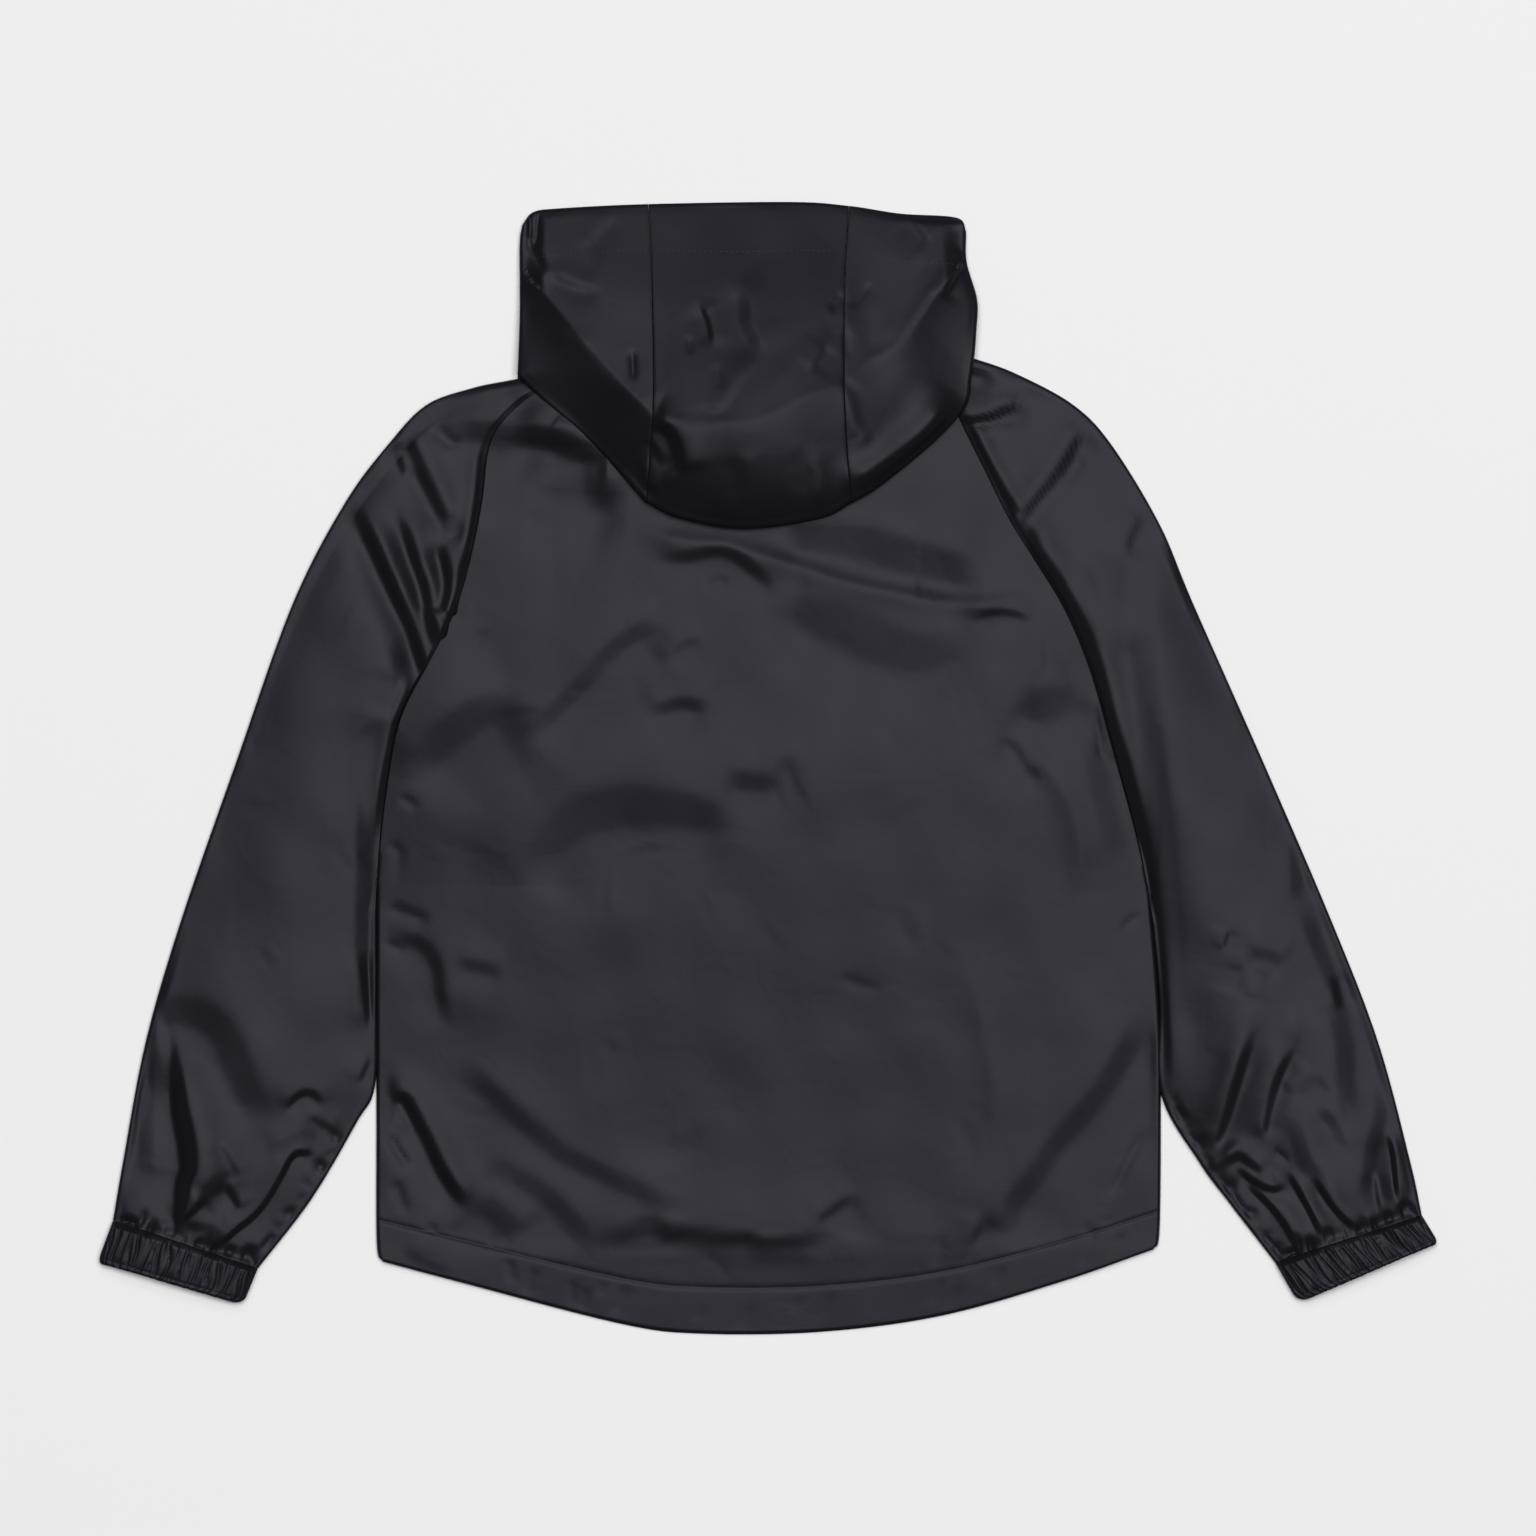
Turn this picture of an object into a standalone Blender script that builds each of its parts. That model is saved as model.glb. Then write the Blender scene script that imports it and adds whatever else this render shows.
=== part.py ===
"""A child's hooded rain jacket, zipped up and laid flat on its fronts with the back up.

Metres, +Z up. +Y runs from the hem to the hood and +X to the right of the back.
The origin is on the surface that the jacket lies on, under the middle of its box.
"""

import math
from collections import namedtuple

import bpy
import numpy as np

# ---------------------------------------------------------------- driving dimensions
CLOTH = 0.0012  # wall of every cloth piece
SEAM_GAP = 0.0003  # space between two pieces at a seam
SEAM_INSET = 0.0004  # how far a panel's edge stays back from the seam's line
FLOOR_LAYER = CLOTH / 2  # middle of the layer that lies on the surface
STACKED = CLOTH + SEAM_GAP  # from the middle of one layer to the middle of the next

BODY_RISE = 0.0120  # middle of the back above the surface
NECK_RISE = 0.0090  # the back under the hood, pressed down by it
HEM_RISE = 0.0045  # the back over the hem of the fronts
TAIL_DROP = 0.0150  # length in which the dropped tail comes down to the surface
HEM_CLIMB = 0.075  # length in which the back climbs from the fronts' hem to its full height
HOOD_PRESS_Y, HOOD_PRESS_REACH = 0.110, 0.070  # where the hood begins to press the back down
SIDE_RISE = FLOOR_LAYER + STACKED  # edge of the back on the edge of a front
EDGE_ROUNDING = 0.040  # length in which the back climbs from its edges
SLEEVE_FADE, BACK_FADE, HEM_FADE = 0.020, 0.025, 0.030  # lengths in which folds fade to an edge

FOLD_RADIUS = 0.0018  # round the folded edges of a sleeve
FOLD_HEIGHT = FLOOR_LAYER + FOLD_RADIUS  # outermost line of such a fold
RAGLAN_WIDTH = 0.310  # length of the raglan seam with the neck edge
FAN_END, FAN_OUTER, FAN_INNER = 0.40, 0.56, 0.08  # sleeve, outer fold and inner fold
SLEEVE_RISES = (0.0090, 0.0110, 0.0110, 0.0085)  # raglan seam, upper arm, forearm, cuff seam
CUFF_START = 0.03  # share of the cuff's depth left clear at its seam
CUFF_EDGE = 0.0042  # outermost line of a cuff's folded edges
CUFF_RISES = (0.0085, 0.0080)  # top of a cuff, at its seam and at its end
CUFF_WAVE = 0.0005  # height of the gathers

HOOD_FACE_RISE = 0.0024  # middle of the face edge above the surface
HOOD_FACE_Y = 0.323
HOOD_PEAK = 0.036  # ridge across the back of the hood, at its middle
HOOD_SIDE_PEAK = 0.015  # the same ridge near the side folds
HOOD_MIDDLE_X = -0.012
HOOD_PEAK_REACH = 0.085
HOOD_LOWER_RISE = 0.027  # top of the part that hangs over the back
HOOD_BLEND = 0.022  # length in which the hood's crown comes down to its folded edge
HOOD_CORNER_RISES = (0.0045, 0.0150)  # top of the side fold, at the face edge and the shoulder
HOOD_SIDE_FOLD_RISES = (0.0025, 0.0105)  # outermost line of that fold
HOOD_EDGE_RISE = 0.0255  # top of the fold over the back
HOOD_FOLD_RISE = 0.0195  # outermost line of that fold
HOOD_BELOW_RISES = (0.0080, 0.0137)  # layer below it, at the shoulder and the middle
HOOD_NECK_RISES = (0.0085, 0.0112)  # neck seam, at the shoulder and over the back
SHOULDER_TURN = math.radians(37)  # turn of the folded edge from the face edge to the shoulder
FLAP_SHARES = (0.05, 0.115, 0.22, 0.36, 0.56, 0.78, 1.0)  # steps across a flap at the shoulder
CORNER_SHARES = (0.50, 0.58, 0.66, 0.75, 0.83, 0.92, 1.0)  # the same at the face edge's corner
HOOD_SEAM_X = {"left": -0.069, "right": 0.047}

ZIP_HALF_GAP = 0.0055  # from the middle of the zip to the edge of a front
TAPE_HALF_WIDTH = 0.014
TAPE_WALL = 0.0006
CHAIN_HALF_WIDTH = 0.0029
CHAIN_LOW, CHAIN_HIGH = 0.0019, 0.0034
CHIN_Y = 0.200
FRONT_NECK_Y = 0.156
ZIP_HEM_MARGIN = 0.003  # from the hem to the zip's lower end
SLIDER_LENGTH, SLIDER_HALF_WIDTH, SLIDER_CHAMFER = 0.011, 0.0045, 0.0015
SLIDER_LOW, SLIDER_HIGH = 0.0019, 0.0046
BOW_LOW, BOW_WALL, BOW_HALF_WIDTH, BOW_MARGIN = 0.0001, 0.0005, 0.0010, 0.0010
BOW_OVERLAP, BOW_CLEARANCE = 0.0004, 0.00025  # of its fixed end in the slider, and its free end
PULL_AXIS_Y, PULL_AXIS_Z = 0.1935, 0.0012
PULL_LENGTH, PULL_HALF_WIDTH, PULL_WALL, PULL_CHAMFER = 0.027, 0.0030, 0.0007, 0.0008
EYE_LENGTH, EYE_HALF_WIDTH, EYE_CHAMFER = 0.0085, 0.0016, 0.0003

BACK_COLUMNS, BACK_SIDE_ROWS = 22, 11
SLEEVE_RINGS, SLEEVE_STEPS = 16, 7
CUFF_RINGS, CUFF_STEPS, CUFF_GATHERS = 3, 44, 15
HOOD_ROWS, HOOD_TURN_STEPS, HOOD_UNDER_STEPS = 9, 3, 4
HOOD_CENTRE_COLUMNS, HOOD_SIDE_COLUMNS, HOOD_LOWER_COLUMNS = 6, 5, 6
FLAP_STEPS = 80

Finish = namedtuple("Finish", "colour roughness metallic")
FINISHES = {
    "shell_cloth": Finish((0.036, 0.035, 0.045), 0.48, 0.0),
    "zip_tape": Finish((0.012, 0.012, 0.014), 0.75, 0.0),
    "zip_metal": Finish((0.030, 0.030, 0.034), 0.35, 0.9),
}

# A fold in the cloth: a ridge where rise is above zero and a trough where it is below.
Fold = namedtuple("Fold", "line reach rise")
# Heights round a folded edge: top layer, outermost line, layer below, and that layer's end.
FoldHeights = namedtuple("FoldHeights", "edge fold below end")
BACK_FOLDS = (
    Fold([(-0.071, 0.141), (0.018, 0.110), (0.087, 0.099), (0.139, 0.102)], 0.012, 0.0045),
    Fold([(-0.066, 0.122), (-0.010, 0.112), (0.014, 0.084)], 0.012, -0.0030),
    Fold([(-0.189, -0.171), (-0.045, -0.249)], 0.020, -0.0030),
    Fold([(-0.019, -0.013), (-0.097, -0.007), (-0.143, -0.070)], 0.018, -0.0025),
    Fold([(0.215, -0.170), (0.139, -0.262)], 0.014, -0.0025),
)
SLEEVE_FOLDS = {
    "left": (
        Fold([(-0.240, 0.156), (-0.198, 0.060)], 0.009, -0.0040),
        Fold([(-0.186, 0.188), (-0.128, 0.172)], 0.010, -0.0030),
        Fold([(-0.343, -0.150), (-0.331, -0.207), (-0.339, -0.255)], 0.010, -0.0035),
        Fold([(-0.272, -0.186), (-0.296, -0.246)], 0.010, -0.0035),
    ),
    "right": (
        Fold([(0.182, 0.195), (0.145, 0.141)], 0.010, -0.0035),
        Fold([(0.220, 0.142), (0.212, 0.066), (0.234, -0.019), (0.240, -0.134)], 0.012, -0.0030),
        Fold([(0.282, -0.132), (0.254, -0.222)], 0.010, -0.0040),
        Fold([(0.314, -0.137), (0.285, -0.211)], 0.010, -0.0035),
    ),
}

# Plan outlines, one row for each point, columns x and y.
SLEEVE_PLANS = {
    "left": {
        # neck end of the shoulder down to the outer end of the cuff seam
        "outer": [(-0.1370, 0.2245), (-0.1500, 0.2222), (-0.170, 0.2180), (-0.196, 0.2085),
                  (-0.217, 0.187), (-0.243, 0.152), (-0.273, 0.094), (-0.3055, 0.003),
                  (-0.3375, -0.089), (-0.3575, -0.158), (-0.3705, -0.227), (-0.3762, -0.2602)],
        # underarm down to the inner end of the cuff seam
        "inner": [(-0.2258, -0.065), (-0.2260, -0.130), (-0.2268, -0.182), (-0.237, -0.204),
                  (-0.263, -0.248), (-0.2936, -0.2876)],
        # neck to underarm
        "raglan": [(-0.1290, 0.2190), (-0.1430, 0.2090), (-0.1560, 0.1950), (-0.1616, 0.1797),
                   (-0.1645, 0.1538), (-0.1714, 0.1193), (-0.1800, 0.0906), (-0.1944, 0.0618),
                   (-0.2116, 0.0273), (-0.2202, -0.0187), (-0.2250, -0.065)],
        "cuff_end": [(-0.3850, -0.2842), (-0.3021, -0.3083)],
    },
    "right": {
        "outer": [(0.1115, 0.2365), (0.1200, 0.2345), (0.1420, 0.2265), (0.1745, 0.2090),
                  (0.1965, 0.1865), (0.2245, 0.1405), (0.2440, 0.0945), (0.2845, 0.003),
                  (0.3240, -0.089), (0.3505, -0.158), (0.3690, -0.227), (0.3755, -0.2573)],
        "inner": [(0.2200, -0.073), (0.2258, -0.134), (0.2268, -0.187), (0.2482, -0.2265),
                  (0.2652, -0.2495), (0.2918, -0.2840)],
        "raglan": [(0.1030, 0.2200), (0.1080, 0.2060), (0.1133, 0.1941), (0.1248, 0.1711),
                   (0.1392, 0.1423), (0.1535, 0.1193), (0.1708, 0.0906), (0.1852, 0.0561),
                   (0.1967, 0.0158), (0.2110, -0.0359), (0.2190, -0.073)],
        "cuff_end": [(0.3850, -0.2729), (0.3050, -0.3071)],
    },
}
NECK_SHARE = 0.045  # share of a sleeve's upper end that is its neck edge
BODY_SIDES = {
    "left": [(-0.2215, -0.2835), (-0.2240, -0.272), (-0.2238, -0.200), (-0.2238, -0.065)],
    "right": [(0.2215, -0.2765), (0.2240, -0.265), (0.2245, -0.190), (0.2232, -0.134),
              (0.2183, -0.073)],
}
HEM = [(-0.2215, -0.2835), (-0.177, -0.2953), (-0.085, -0.3192), (-0.039, -0.3250),
       (0.030, -0.3240), (0.099, -0.3148), (0.168, -0.2953), (0.2215, -0.2765)]
BACK_NECK = [(-0.1290, 0.2190), (-0.070, 0.2150), (-0.014, 0.2130), (0.050, 0.2150),
             (0.1030, 0.2200)]
FRONT_NECKS = {  # from the shoulder to the zip
    "left": [(-0.1438, 0.2262), (-0.1362, 0.2260), (-0.1275, 0.2203), (-0.112, 0.194),
             (-0.088, 0.173), (-0.050, 0.160), (-0.0055, 0.1560)],
    "right": [(0.1185, 0.2385), (0.1108, 0.2382), (0.1012, 0.2212), (0.088, 0.188),
              (0.066, 0.169), (0.036, 0.159), (0.0055, 0.1560)],
}
HOOD_FACE_EDGE = [(-0.1350, 0.3192), (-0.120, 0.3215), (-0.068, 0.3240), (0.0125, 0.3252),
                 (0.046, 0.3230), (0.076, 0.3185), (0.1080, 0.3162)]
HOOD_SIDE_FOLDS = {
    "left": [(-0.1412, 0.3115), (-0.1425, 0.300), (-0.1425, 0.262), (-0.1438, 0.2262)],
    "right": [(0.1136, 0.3085), (0.1140, 0.2905), (0.1200, 0.2690), (0.1195, 0.2515),
              (0.1185, 0.2385)],
}
HOOD_LOWER_FOLDS = {  # from the shoulder to the seam of the centre panel
    "left": [(-0.1438, 0.2262), (-0.1285, 0.2110), (-0.0965, 0.1825), (-0.0700, 0.1525)],
    "right": [(0.1185, 0.2385), (0.1165, 0.2250), (0.1133, 0.2084), (0.096, 0.1883),
              (0.0645, 0.1625), (0.0480, 0.1525)],
}
HOOD_CENTRE_FOLD = [(-0.0700, 0.1525), (-0.0505, 0.1435), (-0.013, 0.1377), (0.030, 0.1435),
                    (0.0480, 0.1525)]
HOOD_OPENING_CORNERS = {"left": (-0.1320, 0.3140), "right": (0.1045, 0.3110)}
HOOD_SHOULDER_SEAMS = {  # where a side panel's neck end meets the sleeve and the back
    "left": [(-0.1385, 0.2243), (-0.1290, 0.2190), (-0.100, 0.2168), (-0.069, 0.2150)],
    "right": [(0.1125, 0.2350), (0.1040, 0.2200), (0.080, 0.2170), (0.047, 0.2150)],
}
HOOD_RIDGE = [(-0.131, 0.275), (-0.074, 0.211), (-0.045, 0.199), (-0.005, 0.200),
              (0.018, 0.211), (0.064, 0.229), (0.099, 0.275)]
SIGN = {"left": -1.0, "right": 1.0}


# ---------------------------------------------------------------- curves and heights
class Curve:
    """A smooth line through a few plan points, read by the fraction of its length."""

    def __init__(self, points, samples=24):
        knots = np.array(points, float)
        before = 2 * knots[0] - knots[1]
        after = 2 * knots[-1] - knots[-2]
        knots = np.vstack([before, knots, after])
        line = []
        for a, b, c, d in zip(knots, knots[1:], knots[2:], knots[3:]):
            for t in np.linspace(0, 1, samples, endpoint=False):
                line.append(0.5 * (2 * b + (c - a) * t + (2 * a - 5 * b + 4 * c - d) * t**2
                                   + (3 * b - a - 3 * c + d) * t**3))
        line.append(knots[-2])
        self.line = np.array(line)
        steps = np.linalg.norm(np.diff(self.line, axis=0), axis=1)
        self.length = steps.sum()
        self.fractions = np.concatenate([[0], np.cumsum(steps)]) / self.length

    def at(self, fraction):
        """The plan point at a fraction of the length."""
        return np.array([np.interp(fraction, self.fractions, column) for column in self.line.T])

    def beside(self, fraction, distance):
        """The plan point that far to the left of the line's direction."""
        ahead = self.at(min(fraction + 0.01, 1.0)) - self.at(max(fraction - 0.01, 0.0))
        left = np.array([-ahead[1], ahead[0]]) / np.linalg.norm(ahead)
        return self.at(fraction) + distance * left

    def distance(self, point):
        """How far a plan point is from the line, and the fraction of the nearest place."""
        gaps = np.linalg.norm(self.line - point, axis=1)
        nearest = int(gaps.argmin())
        return gaps[nearest], self.fractions[nearest]


def eased(value):
    """0 below 0, 1 above 1 and a soft step between."""
    value = min(max(value, 0.0), 1.0)
    return value * value * (3 - 2 * value)


def between(start, end, share):
    """The value a share of the way from start to end."""
    return start + (end - start) * share


def curved_folds(folds):
    """Each fold with its line made a curve."""
    return [Fold(Curve(fold.line), fold.reach, fold.rise) for fold in folds]


def fold_height(folds, point):
    """The sum of the folds at a plan point: soft across, and fading towards both ends."""
    height = 0.0
    for fold in folds:
        gap, place = fold.line.distance(point)
        fade = math.sin(math.pi * min(max(place, 0.02), 0.98)) ** 0.5
        height += fold.rise * fade * math.exp(-((gap / fold.reach) ** 2))
    return height


# ---------------------------------------------------------------- making objects
def material(name):
    """The Principled material of a named finish."""
    found = bpy.data.materials.get(name)
    if found:
        return found
    finish = FINISHES[name]
    made = bpy.data.materials.new(name)
    made.use_nodes = True
    shader = made.node_tree.nodes["Principled BSDF"]
    shader.inputs["Base Color"].default_value = (*finish.colour, 1.0)
    shader.inputs["Roughness"].default_value = finish.roughness
    shader.inputs["Metallic"].default_value = finish.metallic
    return made


def add_object(name, points, faces, finish):
    """A mesh object at the origin, with one material and smooth shading."""
    mesh = bpy.data.meshes.new(name)
    mesh.from_pydata([tuple(map(float, point)) for point in points], [], faces)
    mesh.validate()
    mesh.shade_smooth()
    mesh.materials.append(material(finish))
    made = bpy.data.objects.new(name, mesh)
    bpy.context.scene.collection.objects.link(made)
    return made


def give_wall(made, wall=CLOTH):
    """Thicken a sheet by the same amount on both of its sides."""
    solidify = made.modifiers.new("wall", "SOLIDIFY")
    solidify.thickness = wall
    solidify.offset = 0.0
    solidify.use_quality_normals = True
    return made


def grid_faces(rows, columns, closed=False, start=0):
    """Quads of a grid stored row by row, closed across its columns for a tube."""
    faces = []
    for row in range(rows - 1):
        for column in range(columns if closed else columns - 1):
            following = (column + 1) % columns
            here = start + row * columns
            faces.append((here + column, here + following,
                          here + columns + following, here + columns + column))
    return faces


def add_sheet(name, rows, finish="shell_cloth", closed=False):
    """A cloth piece through rows of points, as a wall of even thickness."""
    points = [point for row in rows for point in row]
    return give_wall(add_object(name, points, grid_faces(len(rows), len(rows[0]), closed), finish))


def add_plate(name, outline, low, high, finish):
    """An outline in plan, given anticlockwise, pulled up from one height to another."""
    count = len(outline)
    points = [(*point, low) for point in outline] + [(*point, high) for point in outline]
    faces = [tuple(reversed(range(count))), tuple(range(count, 2 * count))]
    for first in range(count):
        second = (first + 1) % count
        faces.append((first, second, count + second, count + first))
    made = add_object(name, points, faces, finish)
    made.data.set_sharp_from_angle(angle=math.radians(40))
    return made


def add_patches(name, patches, finish="shell_cloth", flipped=False):
    """A cloth piece of several grids of points, joined where they share points."""
    places, faces = {}, []
    for patch in patches:
        for line, following in zip(patch, patch[1:]):
            for quad in zip(line, line[1:], following[1:], following):
                keys = [tuple(round(float(value), 7) for value in point) for point in quad]
                corners = [places.setdefault(key, len(places)) for key in keys]
                corners = list(dict.fromkeys(corners))
                if len(corners) > 2:
                    faces.append(corners[::-1] if flipped else corners)
    return give_wall(add_object(name, list(places), faces, finish))


# ---------------------------------------------------------------- sleeves and cuffs
class Sleeve:
    """A raglan sleeve folded flat: a tube from the raglan seam to the cuff seam."""

    def __init__(self, side):
        plan = SLEEVE_PLANS[side]
        self.side = side
        self.outer = Curve(plan["outer"])
        self.inner = Curve(plan["inner"])
        self.raglan = Curve(plan["raglan"])
        self.folds = curved_folds(SLEEVE_FOLDS[side] + BACK_FOLDS)
        self.cuff_end = [np.array(point) for point in plan["cuff_end"]]

    def rise(self, along):
        """Height of the sleeve's upper layer at its middle."""
        return float(np.interp(along, (0.0, 0.25, 0.7, 1.0), SLEEVE_RISES))

    def seam(self, across, aside=0.0):
        """Plan point of the sleeve's upper end, from the shoulder over the neck to the underarm.

        aside moves the point off the raglan seam, away from the body where it is above zero.
        """
        if across < NECK_SHARE:
            return between(self.outer.at(0.0), self.raglan.at(0.0), across / NECK_SHARE)
        return self.raglan.beside((across - NECK_SHARE) / (1 - NECK_SHARE), SIGN[self.side] * aside)

    def ends(self, along):
        """Plan points of a section's two folds. The sections fan out from the underarm."""
        outer = np.interp(along, (0.0, FAN_END, 1.0), (0.0, FAN_OUTER, 1.0))
        inner = np.interp(along, (0.0, FAN_END, 1.0), (0.0, FAN_INNER, 1.0))
        return self.outer.at(outer), self.inner.at(inner)

    def plan_point(self, along, across):
        """Plan point, from the raglan seam (along 0) to the cuff, and outer to inner fold."""
        straight = between(*self.ends(along), across)
        chord = between(self.outer.at(0.0), self.inner.at(0.0), across)
        seam_shape = self.seam(across, SEAM_INSET) - chord
        return straight + seam_shape * max(0.0, 1 - along / FAN_END) ** 2

    def shares(self, width):
        """Places of a section's points across a layer, closer together round the folds."""
        turned = FOLD_RADIUS / width * np.array([0.0, 0.3, 1.0])
        inner = np.linspace(NECK_SHARE, 1 - NECK_SHARE, SLEEVE_STEPS + 1)
        return [*turned, *inner, *(1 - turned[::-1])]

    def height(self, along, across, width):
        """Height of the upper layer: a quarter turn at each fold and an arch between."""
        edge = min(across, 1 - across) * width
        if edge < FOLD_RADIUS:
            return FOLD_HEIGHT + math.sqrt(FOLD_RADIUS**2 - (FOLD_RADIUS - edge) ** 2)
        start = FOLD_RADIUS / width
        arch = max(0.0, math.sin(math.pi * (across - start) / (1 - 2 * start))) ** 0.6
        return between(FOLD_HEIGHT + FOLD_RADIUS, self.rise(along), arch)

    def seam_height(self, across):
        """Height of the raglan seam on the upper side, from neck to underarm."""
        return self.height(0.0, across, RAGLAN_WIDTH)

    def ring(self, along):
        """One section of the tube, over the top from the outer fold and back underneath."""
        outer, inner = self.ends(along)
        width = between(RAGLAN_WIDTH, np.linalg.norm(outer - inner), eased(along / 0.1))
        shares = self.shares(width)
        upper, lower = [], []
        for across in shares:
            point = self.plan_point(along, across)
            edge = min(across, 1 - across) * width
            height = self.height(along, across, width)
            height += fold_height(self.folds, point) * eased(edge / SLEEVE_FADE)
            upper.append((*point, height))
            turn = max(0.0, FOLD_RADIUS - edge)
            drop = math.sqrt(FOLD_RADIUS**2 - turn**2)
            lower.append((*point, FOLD_HEIGHT - drop))
        return upper + lower[-2:0:-1]

    def build(self):
        """The sleeve's solid, a seam's gap clear of the body and of the cuff."""
        rings = [self.ring(along) for along in np.linspace(0, 1, SLEEVE_RINGS + 1)]
        if self.side == "left":
            rings.reverse()
        return add_sheet(f"sleeve_{self.side}", rings, closed=True)

    def build_cuff(self):
        """The gathered elastic casing at the end of the sleeve."""
        start = [self.outer.at(1.0), self.inner.at(1.0)]
        rings = []
        for along in np.linspace(CUFF_START, 1.0, CUFF_RINGS + 1):
            first = between(start[0], self.cuff_end[0], along)
            last = between(start[1], self.cuff_end[1], along)
            rings.append(self.cuff_ring(first, last, along))
        if self.side == "left":
            rings.reverse()
        return add_sheet(f"cuff_{self.side}", rings, closed=True)

    def cuff_ring(self, first, last, along):
        """A section of the cuff between its two folds, waved by the gathers on its top."""
        points = []
        crown = between(*CUFF_RISES, along)
        for step in range(CUFF_STEPS):
            turn = 2 * math.pi * step / CUFF_STEPS
            across = (1 - math.cos(turn)) / 2
            point = between(first, last, across)
            if turn < math.pi:
                wave = CUFF_WAVE * math.cos(2 * math.pi * CUFF_GATHERS * across) * math.sin(turn)
                height = between(CUFF_EDGE, crown, math.sin(turn) ** 0.6) + wave
            else:
                height = between(CUFF_EDGE, FLOOR_LAYER, abs(math.sin(turn)) ** 0.45)
            points.append((*point, height))
        return points


# ---------------------------------------------------------------- body
class Body:
    """The back panel, domed over two fronts that lie on the surface."""

    def __init__(self, sleeves):
        self.sleeves = sleeves
        self.sides = {side: Curve(BODY_SIDES[side]) for side in sleeves}
        self.hem = Curve(HEM)
        self.neck = Curve(BACK_NECK)
        self.folds = curved_folds(BACK_FOLDS + SLEEVE_FOLDS["left"][:2] + SLEEVE_FOLDS["right"][:2])
        self.seam_shares = np.linspace(1 - NECK_SHARE, NECK_SHARE, SLEEVE_STEPS + 1)
        self.rows = BACK_SIDE_ROWS + len(self.seam_shares)

    def front_hem(self, x):
        """The straight line of the fronts' hem, from one side seam's end to the other's."""
        (x0, y0), (x1, y1) = HEM[0], HEM[-1]
        return between(y0, y1, (x - x0) / (x1 - x0))

    def edge(self, side, row):
        """Plan point and height of the back's edge at a row, counted up from the hem."""
        if row <= BACK_SIDE_ROWS:
            return self.sides[side].at(row / BACK_SIDE_ROWS), SIDE_RISE
        across = self.seam_shares[row - BACK_SIDE_ROWS - 1]
        sleeve = self.sleeves[side]
        return sleeve.seam(across, -SEAM_INSET), sleeve.seam_height(across)

    def crown(self, point):
        """Height of the middle of the back at a plan point."""
        past_hem = point[1] - self.front_hem(point[0])
        if past_hem < 0:
            return between(HEM_RISE, FLOOR_LAYER, eased(-past_hem / TAIL_DROP))
        rise = between(HEM_RISE, BODY_RISE, eased(past_hem / HEM_CLIMB))
        return between(rise, NECK_RISE, eased((point[1] - HOOD_PRESS_Y) / HOOD_PRESS_REACH))

    def row(self, row):
        """Points of the back from its left edge to its right edge."""
        (left, left_height), (right, right_height) = self.edge("left", row), self.edge("right", row)
        hem_share = max(0.0, 1 - row / (0.8 * BACK_SIDE_ROWS)) ** 1.5
        neck_share = eased((row - BACK_SIDE_ROWS) / (self.rows - BACK_SIDE_ROWS)) ** 2
        points = []
        for across in np.linspace(0, 1, BACK_COLUMNS + 1):
            point = between(left, right, across)
            for curve, share in ((self.hem, hem_share), (self.neck, neck_share)):
                point = point + share * (curve.at(across) - between(*curve.line[[0, -1]], across))
            edge_height = between(left_height, right_height, across)
            inside = min(np.linalg.norm(point - left), np.linalg.norm(right - point))
            climb = 1 - math.exp(-inside / EDGE_ROUNDING)
            height = between(edge_height, self.crown(point), climb)
            over_front = eased((point[1] - self.front_hem(point[0])) / HEM_FADE)
            height += fold_height(self.folds, point) * eased(inside / BACK_FADE) * over_front
            points.append((*point, height))
        return points

    def build_back(self):
        """The back panel's solid."""
        return add_sheet("back", [self.row(row) for row in range(self.rows + 1)])

    def build_front(self, side):
        """One front, flat on the surface, from the zip out to the side and raglan seams."""
        sleeve = self.sleeves[side]
        sign = SIGN[side]
        outline = [(sign * ZIP_HALF_GAP, self.front_hem(sign * ZIP_HALF_GAP))]
        outline += [tuple(self.sides[side].at(share)) for share in np.linspace(0, 1, 8)]
        outline += [tuple(sleeve.seam(across, -SEAM_INSET)) for across in self.seam_shares]
        neck = Curve(FRONT_NECKS[side])
        outline += [tuple(neck.beside(share, sign * SEAM_INSET)) for share in FLAP_SHARES[1:]]
        if side == "left":
            outline.reverse()
        return add_plate(f"front_{side}", outline, 0.0, CLOTH, "shell_cloth")


# ---------------------------------------------------------------- hood
def quarter_turn(flat_end, outermost, flat_rise, fold_rise):
    """Points of a quarter turn of the cloth, from a flat layer to a fold's outermost line."""
    points = []
    for step in range(1, HOOD_TURN_STEPS + 1):
        turn = math.pi / 2 * step / HOOD_TURN_STEPS
        point = between(flat_end, outermost, math.sin(turn))
        points.append((*point, between(fold_rise, flat_rise, math.cos(turn))))
    return points


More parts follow.
